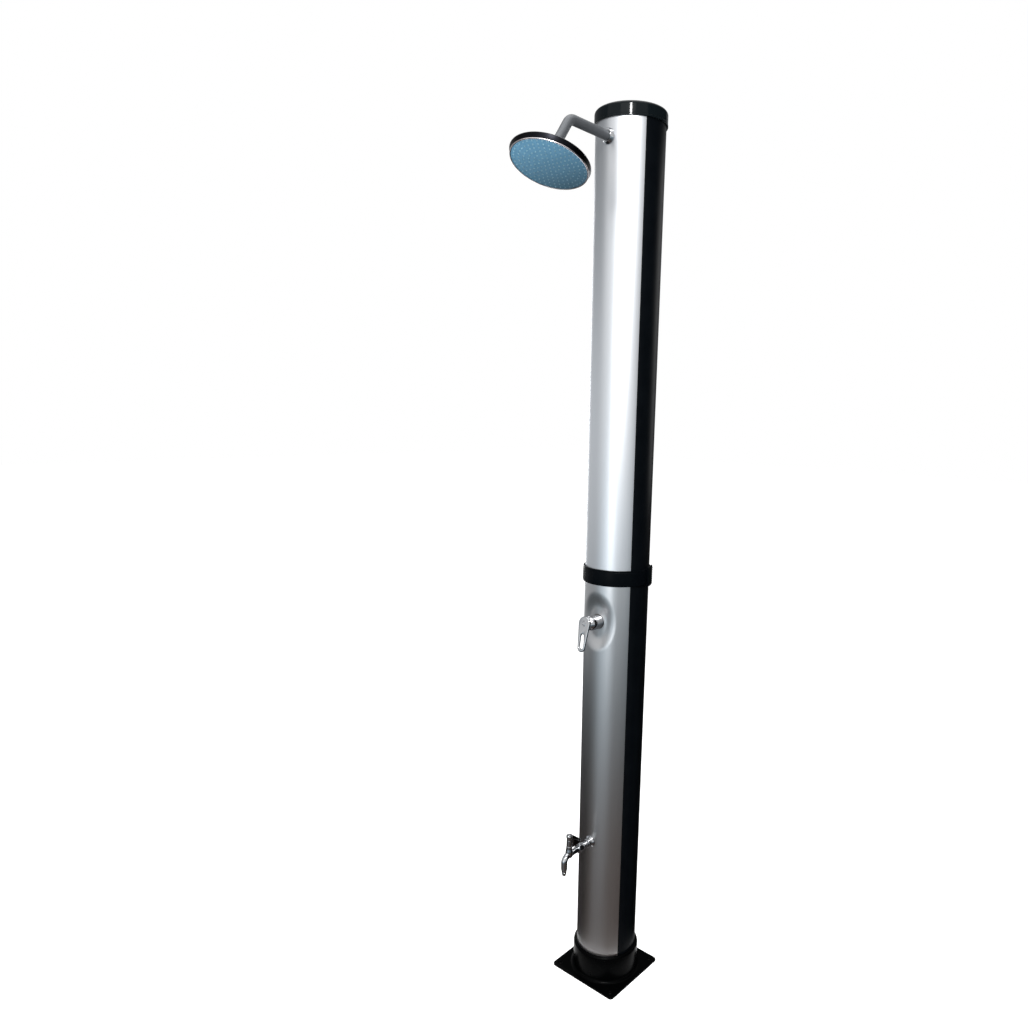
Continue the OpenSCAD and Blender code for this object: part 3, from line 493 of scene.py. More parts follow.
def plasticFinish(name, dark, light, rough, fineness=2600.0, flow=30.0, bump=0.006, dust=0.12, specular=0.5,
                  paintedShade=None):
    material, tree, shader = startMaterial(name)
    grain = groupNode(tree, mouldGrain, placed(tree), Fineness=fineness, Flow=flow)
    splash = groupNode(tree, gardenDust, placed(tree), Amount=dust)
    colour = blendColour(tree, grain.outputs["Mask"], dark, light)
    if paintedShade:
        # painted shade: the colour darkens from front to back, standing in for the shade on the face's far
        # side
        low, high, last = paintedShade
        depth = ranged(tree, splitAxes(tree, placed(tree))["Y"], low, high)
        colour = blendColour(tree, depth, colour, last)
    colour = blendColour(tree, splash.outputs["Mask"], colour, film["tone"])
    tree.links.new(colour, shader.inputs["Base Color"])
    tree.links.new(ranged(tree, grain.outputs["Mask"], 0, 1, *rough), shader.inputs["Roughness"])
    shader.inputs["Specular IOR Level"].default_value = specular
    addBump(tree, shader, grain.outputs["Height"], bump)
    return material


castSkin = {"stretch": (1, 1, 1), "fineness": 500.0, "cloud": 40.0, "bump": 0.002}
metals = {
    "frontUpper": {"dark": (0.55, 0.565, 0.59), "light": (0.61, 0.625, 0.645), "rough": (0.34, 0.42)},
    # the lower sheet is the same aluminium as the upper one; its darker colour is painted shade
    "frontLowerShaded": {"dark": (0.45, 0.45, 0.455), "light": (0.53, 0.53, 0.535), "rough": (0.28, 0.36),
                   "dust": 0.06},
    "armMetal": {"dark": (0.055, 0.059, 0.065), "light": (0.082, 0.087, 0.094), "rough": (0.42, 0.5),
                 "stretch": (1, 0.1, 0.1), "fineness": 900.0, "metal": 0.3, "specular": 0.25},
    "chromeCast": {"dark": (0.34, 0.35, 0.365), "light": (0.46, 0.47, 0.485), "rough": (0.05, 0.12),
                   "dust": 0.02, **castSkin},
    # the head shell is chrome, given a near-black colour: painted dark reflection
    "headBackDarkened": {"dark": (0.005, 0.0052, 0.0065), "light": (0.009, 0.0092, 0.011), "rough": (0.28, 0.38),
                 "dust": 0.0, **castSkin},
    "trimBright": {"dark": (0.66, 0.61, 0.62), "light": (0.74, 0.69, 0.70), "rough": (0.2, 0.3), **castSkin},
    "stainless": {"dark": (0.42, 0.42, 0.43), "light": (0.54, 0.54, 0.55), "rough": (0.22, 0.34),
                  "stretch": (1, 1, 1), "fineness": 900.0, "cloud": 60.0},
    "castBrass": {"dark": (0.52, 0.38, 0.17), "light": (0.66, 0.49, 0.24), "rough": (0.28, 0.42),
                  "stretch": (1, 1, 1), "fineness": 800.0, "cloud": 50.0, "bump": 0.02, "dust": 0.1},
    "bracketSteel": {"dark": (0.36, 0.37, 0.38), "light": (0.48, 0.49, 0.5), "rough": (0.34, 0.5),
                     "stretch": (0.02, 1, 1), "fineness": 900.0},
}
plastics = {
    "blackGloss": {"dark": (0.0003, 0.0004, 0.0005), "light": (0.0007, 0.0008, 0.0009), "rough": (0.22, 0.3),
                   "fineness": 1400.0, "bump": 0.003, "dust": 0.001, "specular": 0.02},
    "blackTube": {"dark": (0.0008, 0.0012, 0.0018), "light": (0.0016, 0.0024, 0.0034), "rough": (0.26, 0.36),
                  "fineness": 1800.0, "bump": 0.004, "dust": 0.001, "specular": 0.08},
    "blackBand": {"dark": (0.0006, 0.001, 0.0014), "light": (0.0012, 0.0018, 0.0026), "rough": (0.2, 0.3),
                  "fineness": 1400.0, "bump": 0.003, "dust": 0.001, "specular": 0.03},
    "blackCap": {"dark": (0.002, 0.0034, 0.004), "light": (0.0035, 0.005, 0.006), "rough": (0.08, 0.12),
                 "fineness": 1400.0, "bump": 0.001, "dust": 0.0, "specular": 0.1},
    "darkPlug": {"dark": (0.02, 0.02, 0.022), "light": (0.03, 0.03, 0.033), "rough": (0.35, 0.5),
                 "dust": 0.05},
    # faceBlue and nozzleRubber carry a painted shade that darkens their colour towards the back
    "faceBlue": {"dark": (0.085, 0.235, 0.37), "light": (0.115, 0.29, 0.44), "rough": (0.42, 0.5),
                 "fineness": 1500.0, "flow": 60.0, "bump": 0.004, "dust": 0.0, "specular": 0.12,
                 "paintedShade": (-0.33, -0.19, (0.03, 0.075, 0.11))},
    "nozzleRubber": {"dark": (0.22, 0.42, 0.52), "light": (0.29, 0.49, 0.59), "rough": (0.45, 0.55),
                     "fineness": 3000.0, "dust": 0.0, "specular": 0.2,
                     "paintedShade": (-0.33, -0.19, (0.08, 0.15, 0.20))},
    "sealRubber": {"dark": (0.012, 0.012, 0.012), "light": (0.02, 0.02, 0.02), "rough": (0.6, 0.8),
                   "bump": 0.02},
    "hoseRubber": {"dark": (0.03, 0.035, 0.05), "light": (0.045, 0.05, 0.065), "rough": (0.45, 0.6),
                   "bump": 0.02},
    "whitePlastic": {"dark": (0.66, 0.65, 0.62), "light": (0.74, 0.73, 0.70), "rough": (0.3, 0.45),
                     "dust": 0.0},
    "darkSeat": {"dark": (0.03, 0.03, 0.033), "light": (0.04, 0.04, 0.044), "rough": (0.25, 0.4),
                 "dust": 0.0},
}
finishes = {name: metalFinish(name, **look) for name, look in metals.items()}
finishes.update({name: plasticFinish(name, **look) for name, look in plastics.items()})
slotOf = {
    "frontUpper": "front_upper", "frontLowerShaded": "front_lower", "armMetal": "arm_metal",
    "chromeCast": "chrome_cast", "headBackDarkened": "chrome_abs", "trimBright": "trim_abs",
    "stainless": "stainless", "castBrass": "cast_brass", "bracketSteel": "bracket_steel",
    "blackGloss": "black_abs", "blackTube": "black_pvc", "darkPlug": "dark_pvc", "blackCap": "black_abs",
    "blackBand": "black_abs", "faceBlue": "face_abs", "nozzleRubber": "nozzle_rubber",
    "sealRubber": "seal_rubber", "hoseRubber": "hose_rubber", "whitePlastic": "white_pom",
    "darkSeat": "seat_pom",
}
for finish, slot in slotOf.items():
    for node in nodes.values():
        for i, old in enumerate(node.data.materials):
            if old and old.name == slot:
                node.data.materials[i] = finishes[finish]
print("finishes made and given to the nodes")


def dress(piece, body, finish, *replaced):
    piece.data.materials.clear()
    piece.data.materials.append(finishes[finish])
    for polygon in piece.data.polygons:
        polygon.material_index = 0
    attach(piece, body)
    if replaced:
        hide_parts(*replaced)
    return piece


# floor plate and collar

foot = {"half": 104, "thick": 5, "corner": 10, "edge": 1.2, "hole": 4.5, "holeAt": 88,
        "collarOut": 88, "collarIn": 80.2, "collarTop": 79, "collarRound": 6, "fillet": 8}


def buildFoot():
    clearSelection()
    bpy.ops.mesh.primitive_cube_add(size=1, location=(0, 0, foot["thick"] / 2 * mm))
    plate = named("footPlate")
    plate.scale = (2 * foot["half"] * mm, 2 * foot["half"] * mm, foot["thick"] * mm)
    applyPlace()
    editMode()
    selectWhere(plate, upright, "EDGE")
    roundEdges(foot["corner"], 12)
    selectWhere(plate, lambda middle, normal: normal.z > 0.9)
    bpy.ops.mesh.region_to_loop()
    roundEdges(foot["edge"], 4)
    objectMode()
    top = foot["thick"]
    out, low = foot["collarOut"], foot["thick"] / 2
    collar = turned("collar", [
        (foot["collarIn"], low, 0), (out + foot["fillet"] + 1.5, low, 0),
        (out + foot["fillet"] + 1.5, top, 0), (out, top, foot["fillet"]),
        (out, foot["collarTop"], foot["collarRound"]), (foot["collarIn"], foot["collarTop"], 0.6)],
        closed=True, segments=144, steps=10)
    cutWith(plate, collar, "UNION")
    for x in (-1, 1):
        for y in (-1, 1):
            bore = turned("bore", [(0, -1, 0), (foot["hole"], -1, 0), (foot["hole"], top - 0.8, 0),
                                   (foot["hole"] + 1.6, top + 0.8, 0), (0, top + 0.8, 0)], segments=48)
            bore.location = (x * foot["holeAt"] * mm, y * foot["holeAt"] * mm, 0)
            cutWith(plate, bore)
    settle(plate, smoothAngle=30)
    return dress(plate, "column", "blackGloss", "base_foot")


buildFoot()

screws = {"height": 58, "angles": (145, 215), "head": 4, "thick": 2.5, "from": 88.2, "slot": 0.9,
          "slotLong": 4.2, "slotDeep": 2.4, "slotTurn": 20}


def buildCollarScrews():
    made = []
    for angle in screws["angles"]:
        head = turned("screwHead", [
            (0, -4, 0), (2, -4, 0), (2, 0, 0), (screws["head"], 0, 0.3), (screws["head"], 1.1, 0.5),
            (2.6, screws["thick"], 1.6), (0, screws["thick"], 0)], segments=48)
        for across in (0, 90):
            clearSelection()
            bpy.ops.mesh.primitive_cube_add(size=1, location=(0, 0, screws["thick"] * mm))
            slot = named("slot")
            slot.scale = (screws["slotLong"] * mm, screws["slot"] * mm, screws["slotDeep"] * mm)
            slot.rotation_euler.z = math.radians(across + screws["slotTurn"])
            cutWith(head, slot)
        spot = spun(angle, "Z") @ placeFront(screws["from"], screws["height"])
        made.append(settle(head, spot))
    return dress(joined(made, "collarScrews"), "column", "stainless", "collar_screws")


buildCollarScrews()
print("foot done")

# column tubes

column = {"radius": 80, "half": 62, "lowFrom": 5, "lowTo": 1112, "upFrom": 1114, "upTo": 2161, "edge": 0.6,
          "segments": 240}
chord = column["radius"] * math.cos(math.radians(column["half"]))


def buildTube(name, bottom, top, replaced):
    clearSelection()
    bpy.ops.mesh.primitive_cylinder_add(vertices=column["segments"], radius=column["radius"] * mm,
                                        depth=(top - bottom) * mm,
                                        location=(0, 0, (top + bottom) / 2 * mm))
    tube = named(name)
    applyPlace()
    editMode()
    selectAll()
    bpy.ops.mesh.bisect(plane_co=(0, -chord * mm, 0), plane_no=(0, -1, 0), use_fill=True, clear_outer=True)
    # the two long edges of the flat front
    selectWhere(tube, lambda middle, along: abs(along.z) > 0.5 and middle.y < near - chord * mm, "EDGE")
    roundEdges(column["edge"], 3)
    objectMode()
    settle(tube)
    return dress(tube, "column", "blackTube", replaced)


buildTube("lowerTube", column["lowFrom"], column["lowTo"], "lower_tank")
buildTube("upperTube", column["upFrom"], column["upTo"], "upper_tank")

# front sheets

sheets = {"thick": 1.5, "columns": 124, "gap": 0.2, "hem": 8, "recessAt": 1000, "recessHigh": 78,
          "recessWide": 40, "recessDepth": 6.4, "recessSlope": 0.54, "sleeveHole": 19, "tapAt": 406,
          "tapHole": 8.8, "armAt": 2098, "armHole": 11, "cutLong": 50, "cutAt": 75}


def pressedRadius(psi, z):
    # how far the sheet stands out at an angle and height, with the soft recess pressed in
    across = psi / math.radians(sheets["recessWide"])
    along = (z - sheets["recessAt"]) / sheets["recessHigh"]
    rise = min(max((1 - math.hypot(across, along)) / sheets["recessSlope"], 0), 1)
    return column["radius"] - sheets["recessDepth"] * rise * rise * (3 - 2 * rise)


def rimOn(side):
    # finds the upright rim on one side of a sheet
    front = -(chord + sheets["gap"]) * mm - 2 * near
    return lambda middle, along: (abs(along.z) > 10 * near and abs(along.x) < near
                                  and middle.y > front and middle.x * side > 0)


def buildSheet(name, rows, recessed, holes, finish, replaced):
    count = len(rows)
    clearSelection()
    bpy.ops.mesh.primitive_grid_add(x_subdivisions=sheets["columns"], y_subdivisions=count - 1, size=2)
    sheet = named(name)
    limit = math.acos((chord + sheets["gap"]) / column["radius"])
    for v in sheet.data.vertices:
        psi = v.co.x * limit
        z = rows[round((v.co.y + 1) / 2 * (count - 1))]
        r = pressedRadius(psi, z) if recessed else column["radius"]
        v.co = (r * math.sin(psi) * mm, -r * math.cos(psi) * mm, z * mm)
    editMode()
    for side in (-1, 1):
        selectWhere(sheet, rimOn(side), "EDGE")
        extrudeBy((-side * sheets["hem"] * mm, 0, 0))
    selectAll()
    faceOutwards()
    objectMode()
    if sheet.data.polygons[0].normal.y > 0:
        pickOnly(sheet)
        editMode()
        selectAll()
        bpy.ops.mesh.flip_normals()
        objectMode()
    applied(sheet, "SOLIDIFY", thickness=sheets["thick"] * mm, offset=-1, use_even_offset=True)
    for height, radius in holes:
        clearSelection()
        bpy.ops.mesh.primitive_cylinder_add(vertices=72, radius=radius * mm, depth=sheets["cutLong"] * mm,
                                            location=(0, -sheets["cutAt"] * mm, height * mm),
                                            rotation=(math.radians(90), 0, 0))
        cutWith(sheet, named("hole"))
    settle(sheet, smoothAngle=40)
    return dress(sheet, "column", finish, replaced)


def evenRows(start, end, pitch):
    count = max(1, round((end - start) / pitch))
    return [start + (end - start) * i / count for i in range(count + 1)]


recessLow, recessHigh = sheets["recessAt"] - sheets["recessHigh"], sheets["recessAt"] + sheets["recessHigh"]
lowerRows = (evenRows(column["lowFrom"], recessLow, 90) + evenRows(recessLow, recessHigh, 2.4)[1:]
             + evenRows(recessHigh, column["lowTo"], 10)[1:])
upperRows = evenRows(column["upFrom"], column["upTo"], 80)
buildSheet("lowerSheet", lowerRows, True,
           [(sheets["recessAt"], sheets["sleeveHole"]), (sheets["tapAt"], sheets["tapHole"])],
           "frontLowerShaded", "lower_panel")
buildSheet("upperSheet", upperRows, False, [(sheets["armAt"], sheets["armHole"])],
           "frontUpper", "upper_panel")
print("column done")

# joint band and its lug

band = {"middle": 1113, "high": 39, "inner": 80.2, "outer": 84.5, "belly": 85, "step": 2, "ribFrom": -50,
        "ribPitch": 11, "ribs": 5, "ribRound": 1, "lugAt": 108, "lugWide": 34, "lugHigh": 50, "lugRise": 4,
        "padColumns": 5, "padRows": 9}


def buildBand():
    low, high = -band["high"] / 2, band["high"] / 2
    lip = high - 2 * band["step"]
    ring = turned("band", [
        (band["inner"], low, 0.3), (band["belly"] - 0.3, low, 1.2), (band["belly"], lip - 1, 0.3),
        (band["outer"] - 0.5, lip, 0.2), (band["outer"] - 0.5, lip + 0.7, 0.2),
        (band["outer"], lip + 1.2, 0.2), (band["outer"], high, 0.9), (band["inner"], high, 0.3)],
        placeUp(0, band["middle"]), closed=True, segments=192)
    pieces = [ring]
    length = lip + high - 3
    for i in range(band["ribs"]):
        rib = turned("rib", [(0, 0, 0), (band["ribRound"], 0, 0.8), (band["ribRound"], length, 0.8),
                             (0, length, 0)],
                     segments=16, steps=4)
        spot = placeUp(band["outer"], band["middle"] + low + 1.5)
        pieces.append(settle(rib, spun(band["ribFrom"] + i * band["ribPitch"], "Z") @ spot))
    return dress(joined(pieces, "jointBand"), "column", "blackBand", "joint_band")


def arcBlock(name, inner, outer, bottom, top, wide, angle, rounding, segments=24):
    # a block that follows the column, centred on an angle from the front
    half = math.degrees(wide / 2 / outer)
    block = turned(name, [(inner, bottom, 0), (outer, bottom, rounding), (outer, top, rounding),
                          (inner, top, 0)],
                   closed=True, segments=segments, steps=3, sweep=2 * half)
    return settle(block, spun(angle - 90 + half, "Z"))


def buildLug():
    inner = band["belly"] + 0.2
    low, high = band["middle"] - band["lugHigh"] / 2, band["middle"] + band["lugHigh"] / 2
    pieces = [arcBlock("lug", inner, inner + band["lugRise"] - 1.2, low, high, band["lugWide"],
                       band["lugAt"], 1.5)]
    padWide = band["lugWide"] / band["padColumns"]
    padHigh = (band["lugHigh"] - 8) / band["padRows"]
    for line in range(band["padColumns"]):
        for row in range(band["padRows"]):
            aside = (line - (band["padColumns"] - 1) / 2) * padWide
            angle = band["lugAt"] + math.degrees(aside / (inner + 3))
            bottom = low + 4 + row * padHigh
            pieces.append(arcBlock("pad", inner + 1, inner + band["lugRise"], bottom + 1,
                                   bottom + padHigh - 1, padWide - 2.4, angle, 0.7, segments=3))
    return dress(joined(pieces, "bandLug"), "column", "blackBand", "band_lug")


buildBand()
buildLug()

# top cap

cap = {"top": 2165, "low": 2135, "outer": 83, "inner": 80.2, "round": 7, "bead": 0.6, "beadHigh": 4,
       "under": 2161}


def buildCap():
    top, low, outer, bead = cap["top"], cap["low"], cap["outer"], cap["low"] + cap["beadHigh"]
    lid = turned("topCap", [
        (0, top - 0.8, 0), (outer - 13, top - 0.8, 1.0), (outer - 11.5, top, 1.0), (outer, top, cap["round"]),
        (outer, bead + 1, 0.3), (outer - 0.4, bead + 0.5, 0.2), (outer + cap["bead"], bead, 0.4),
        (outer + cap["bead"], low, 0.8), (cap["inner"], low, 0.5), (cap["inner"], cap["under"], 0.5),
        (0, cap["under"], 0)], segments=192, steps=8)
    return dress(lid, "column", "blackCap", "top_cap")


buildCap()
print("band and cap done")

# shower arm

arm = {"height": 2098, "radius": 10.4, "reach": 208, "drop": 67, "angle": 35, "bend": 24, "from": 53,
       "flange": 17, "neck": 13, "flangeFrom": 80.2, "flangeThick": 8}
armTurn = 90 - arm["angle"]
armTangent = arm["bend"] * math.tan(math.radians(armTurn / 2))


def buildArm():
    tube = bentTube("showerArm", arm["radius"], arm["from"], arm["height"],
                    arm["reach"] - armTangent - arm["from"], arm["bend"], armTurn,
                    arm["drop"] - armTangent - 0.1, vertices=64, steps=20)
    settle(tube, smoothAngle=40)
    return dress(tube, "column", "armMetal", "shower_arm")


buildArm()
dress(turned("armFlange", [
    (arm["radius"] + 0.2, 0, 0.2), (arm["flange"], 0, 0.3), (arm["flange"], 1.6, 0.8),
    (arm["neck"] + 0.8, arm["flangeThick"] - 1.4, 3), (arm["neck"], arm["flangeThick"], 0.8),
    (arm["radius"] + 0.2, arm["flangeThick"], 0.3)], placeFront(arm["flangeFrom"], arm["height"]),
    closed=True), "column", "chromeCast", "arm_flange")

# ball joint and head

head = {"radius": 83, "depth": 35, "rim": 13, "flare": 3, "angle": 20, "wall": 2.5, "hub": 17, "hubAt": 15,
        "neck": 11.6, "neckTop": 5, "ball": 9, "set": 0.7, "plateThick": 2, "mat": 1.5, "trimIn": 80,
        "rings": 7, "nub": 1.3, "nubOut": 1.6, "nutOut": 14.5, "nutLow": 12, "nutTop": 8, "nutBore": 11.66,
        "seat": 2.2}
ballOut = arm["reach"] + (arm["drop"] + 18) * math.sin(math.radians(arm["angle"]))
ballHeight = arm["height"] - (arm["drop"] + 18) * math.cos(math.radians(arm["angle"]))


def atBall(angle):
    # local +Z runs back along the head's axis or the arm's end
    return placeUp(ballOut, ballHeight) @ spun(-angle, "X")


def buildNut():
    low, top = -head["nutLow"], head["nutTop"]
    nut = hexBlock("swivelNut", head["nutOut"], low, top, (2.4, 2), (2.8, 2.4), soft=0.6, edge=0.9,
                   edgeSteps=4)
    # above the ball's middle the bore follows a sphere and then opens
    room = head["ball"] + head["seat"] + 0.5
    mouth = top + 0.5
    cutWith(nut, turned("core", [
        (0, low - 1, 0), (head["nutBore"], low - 1, 0), (head["nutBore"], -2.6, 0), (room - 0.1, -1.4, 0),
        (room, 0, 0), (room * 0.94, room * 0.342, 0), (room * 0.9, room * 0.437, 0),
        (room * 0.848, room * 0.53, 0), (mouth * 1.6, mouth, 0), (0, mouth, 0)]))
    settle(nut, atBall(head["angle"]), 28)
    return dress(nut, "swivel", "chromeCast", "swivel_nut")


buildNut()


def buildShell():
    face, rim = -head["depth"], -head["depth"] + head["rim"]
    r, wall = head["radius"], head["wall"]
    shell = turned("headShell", [
        (head["ball"] + 0.5, -head["neckTop"], 0.3), (head["neck"], -head["neckTop"] - 2, 0.6),
        (head["neck"], -head["hubAt"], 1.2), (head["hub"], -head["hubAt"], 1.2),
        (head["hub"] + 2.5, -head["hubAt"] - 0.6, 3), (r + head["flare"] - wall, rim, 3),
        (r + head["flare"], rim - wall, 1.6),
        (r, face + 2.0, 0.4), (r - 0.4, face + 1.6, 0.2), (r - 0.4, face + 1.3, 0.2),
        (r - wall, face + 1.25, 0.3), (r - wall, face + head["rim"] / 2, 1),
        (r - 2 * wall, rim - wall - 1, 3), (head["hub"], -head["hubAt"] - wall, 2),
        (head["neck"] - 4, -head["hubAt"] - wall, 0.5), (head["neck"] - 4, -head["ball"], 0.3),
        (8.2, -4.8, 0)],
        atBall(head["angle"]), closed=True, segments=160, steps=5)
    return dress(shell, "head", "headBackDarkened", "head_shell")


def nozzlePlaces():
    step = (head["trimIn"] - head["nub"] * 4) / head["rings"]
    places = [(0, 0)]
    for ring in range(1, head["rings"] + 1):
        for i in range(6 * ring):
            turn = math.radians(i * 60 / ring)
            places.append((ring * step * math.cos(turn), ring * step * math.sin(turn)))
    return places


def buildFace():
    low = -head["depth"] + head["set"]
    r = head["radius"] - head["wall"] - 0.2
    plate = turned("headFace", [
        (0, low, 0), (head["trimIn"] - 3.5, low, 0.8), (head["trimIn"] - 2.5, low - 0.35, 0.4),
        (r, low - 0.35, 0.3), (r, low + head["plateThick"], 0.3), (0, low + head["plateThick"], 0)],
        segments=160)
    settle(plate, atBall(head["angle"]))
    dress(plate, "head", "faceBlue", "head_plate")
    back = low + head["plateThick"] + 0.2
    mat = turned("mat", [(0, back, 0), (r, back, 0.3), (r, back + head["mat"], 0.3),
                         (0, back + head["mat"], 0)],
                 segments=96)
    nub = turned("nub", [
        (0.45, low - head["nubOut"] + 0.5, 0), (0.45, low - head["nubOut"], 0.1),
        (1.05, low - head["nubOut"], 0.3), (head["nub"], low - 0.1, 0.2),
        (head["nub"] + 0.5, low - 0.05, 0.1), (head["nub"] + 0.5, low + 0.02, 0)],
        segments=12, steps=2)
    nubs = [copyOf(nub, "nub", shifted(x, y, 0)) for x, y in nozzlePlaces()]
    pickOnly(nub)
    bpy.ops.object.delete()
    nubs = joined([mat] + nubs, "nozzleMat")
    settle(nubs, atBall(head["angle"]))
    return dress(nubs, "head", "nozzleRubber", "nozzle_mat")


buildShell()
buildFace()
dress(turned("trimRing", [
    (head["trimIn"], -head["depth"] - 0.5, 0.2), (head["trimIn"] + 0.9, -head["depth"] - 0.7, 0.3),
    (head["radius"] - 0.4, -head["depth"] - 0.7, 0.7), (head["radius"], -head["depth"] + 1.0, 0.3),
    (head["radius"] - 2.4, -head["depth"] + 1.0, 0.2), (head["radius"] - 2.4, -head["depth"] + 0.3, 0),
    (head["trimIn"], -head["depth"] + 0.3, 0.1)], atBall(head["angle"]), closed=True, segments=160, steps=3),
    "head", "trimBright", "trim_ring")
print("arm and head done")

# mixer

mixer = {"height": 1000, "sleeve": 18, "wall": 1.9, "sleeveFrom": 61.8, "pivot": 96, "rest": 10, "top": 17,
         "end": 11, "length": 60, "dist": 27, "thick": 6, "slotFrom": 33, "slotTo": 57, "slot": 6, "hub": 11,
         "skirtIn": 18.4, "skirtWall": 2.2, "skirtHalf": 42, "stem": 4.1, "stemTip": 23, "index": 5,
         "edge": 2.3, "groove": 28, "sleeveLong": 33.9, "screw": 1.8}
atStem = placeFront(mixer["pivot"], mixer["height"]) @ spun(-mixer["rest"], "X")
dress(turned("mixerSleeve", [
    (mixer["sleeve"] - mixer["wall"], 0, 0.2), (mixer["sleeve"], 0, 0.2),
    (mixer["sleeve"], mixer["groove"], 0.3), (mixer["sleeve"] - 0.5, mixer["groove"] + 0.5, 0.2),
    (mixer["sleeve"] - 0.5, mixer["groove"] + 1.1, 0.2), (mixer["sleeve"], mixer["groove"] + 1.6, 0.3),
    (mixer["sleeve"], mixer["sleeveLong"], 0.5), (mixer["sleeve"] - mixer["wall"], mixer["sleeveLong"], 0.3)],
    placeFront(mixer["sleeveFrom"], mixer["height"]), closed=True), "column", "chromeCast", "mixer_sleeve")


def arcPoints(radius, height, start, sweep, steps):
    # an arc about a place on the Z axis
    turns = [start + sweep * s / steps for s in range(steps + 1)]
    return [(radius * math.cos(turn), height + radius * math.sin(turn)) for turn in turns]


def dropOutline(upper, lower, length, steps=40):
    # upper round at the origin, lower round below it, joined by tangents
    lean = math.acos((upper - lower) / length)
    return (arcPoints(upper, 0, lean - math.pi / 2, 2 * (math.pi - lean), steps)
            + arcPoints(lower, -length, -lean - math.pi / 2, 2 * lean, steps))


def buildLever():
    low = mixer["dist"] - mixer["thick"] / 2
    blade = slab("leverBlade", dropOutline(mixer["top"], mixer["end"], mixer["length"]), mixer["thick"])
    slot = slab("leverSlot", arcPoints(mixer["slot"], -mixer["slotFrom"], 0, math.pi, 24)
                + arcPoints(mixer["slot"], -mixer["slotTo"], math.pi, math.pi, 24), mixer["thick"] + 4)
    slot.location.y = 2 * mm
    cutWith(blade, slot)
    pickOnly(blade)
    editMode()
    selectWhere(blade, lambda middle, along: True, "EDGE")
    weldPoints(0.005 * mm)
    selectWhere(blade, lambda middle, normal: abs(normal.y) > 0.9)
    bpy.ops.mesh.region_to_loop()
    roundEdges(mixer["edge"], 6, True)
    objectMode()
    fixPlace(blade, shifted(0, 0, low) @ spun(-90, "X"))
    # the skirt is a slice of a hollow ball round the pivot
    inner, outer = mixer["skirtIn"], mixer["skirtIn"] + mixer["skirtWall"]
    reach = math.radians(mixer["skirtHalf"])
    steps = 14
    profile = [(inner * math.sin(reach * s / steps), inner * math.cos(reach * s / steps), 0)
               for s in range(2, steps + 1)]
    profile += [(outer * math.sin(reach * s / steps), outer * math.cos(reach * s / steps), 0)
                for s in range(steps, 7, -1)]
    profile += [(mixer["hub"], outer * 0.94, 1.0), (mixer["hub"] - 0.5, low + 1.0, 0),
                (mixer["stem"], low + 1.0, 0), (mixer["stem"], inner + 1, 0)]
    skirt = turned("leverSkirt", profile, closed=True, segments=96)
    crown = turned("leverCrown", [
        (mixer["index"] + 0.2, low + 3.6, 0), (mixer["index"] + 0.2, low + mixer["thick"] + 0.25, 0.2),
        (mixer["index"] + 1.6, low + mixer["thick"] + 0.25, 0.4),
        (mixer["index"] + 2.6, low + mixer["thick"] - 0.1, 0), (mixer["index"] + 2.6, low + 3.6, 0)],
        closed=True)
    # room for the stem, its screw and the cap
    bore = stepped(inner, (mixer["stem"], mixer["stemTip"] + 0.2), (mixer["screw"], mixer["stemTip"] + 3.2),
                   (mixer["index"] + 0.2, mixer["dist"] + 8))
    cutWith(blade, turned("bore", bore, segments=64))
    lever = joined([blade, skirt, crown], "mixerLever")
    settle(lever, atStem, 30)
    return dress(lever, "lever", "chromeCast", "mixer_lever")


buildLever()
capFace = mixer["dist"] + mixer["thick"] / 2
dress(turned("indexCap",
             [(0, capFace - 1.6, 0), (mixer["index"], capFace - 1.6, 0.2), (mixer["index"], capFace, 0.4),
              (mixer["index"] - 1.2, capFace + 0.2, 0.5), (0, capFace + 0.2, 0)], atStem),
      "lever", "chromeCast", "index_cap")
print("mixer done")

# foot tap

tap = {"height": 406, "valve": 163, "flange": 15, "flangeThick": 5, "sleeve": 10.5, "sleeveEnd": 95,
       "shank": 7.8, "neck": 8, "nutFrom": 116, "nutTo": 130, "nut": 12, "barrel": 9.5, "low": 8, "high": 24,
       "spout": 8, "bend": 16, "mouth": 356, "nozzleLong": 17, "bonnet": 7.2, "bonnetHigh": 16, "hub": 8.7,
       "hubHigh": 13, "reach": 42, "blade": 6, "wide": 11, "fall": 25, "from": 52.9, "webFrom": 11,
       "webLow": -25, "webWide": 5.6, "face": 80.2, "gap": 0.25, "stem": 3.6, "screw": 1.8}
bendOut = tap["bend"] + tap["valve"] - tap["spout"] + 2
spoutOut = bendOut + tap["bend"] - tap["spout"]
drop = tap["height"] - tap["bend"] - tap["mouth"] - tap["nozzleLong"]
hubFoot = tap["height"] + tap["high"] + tap["bonnetHigh"] + tap["gap"]


def castBlend(piece, size, passes):
    # melts joined shells into one cast skin
    applied(piece, "REMESH", mode="VOXEL", voxel_size=size * mm, use_smooth_shade=True)
    applied(piece, "SMOOTH", factor=0.5, iterations=passes)
    return piece


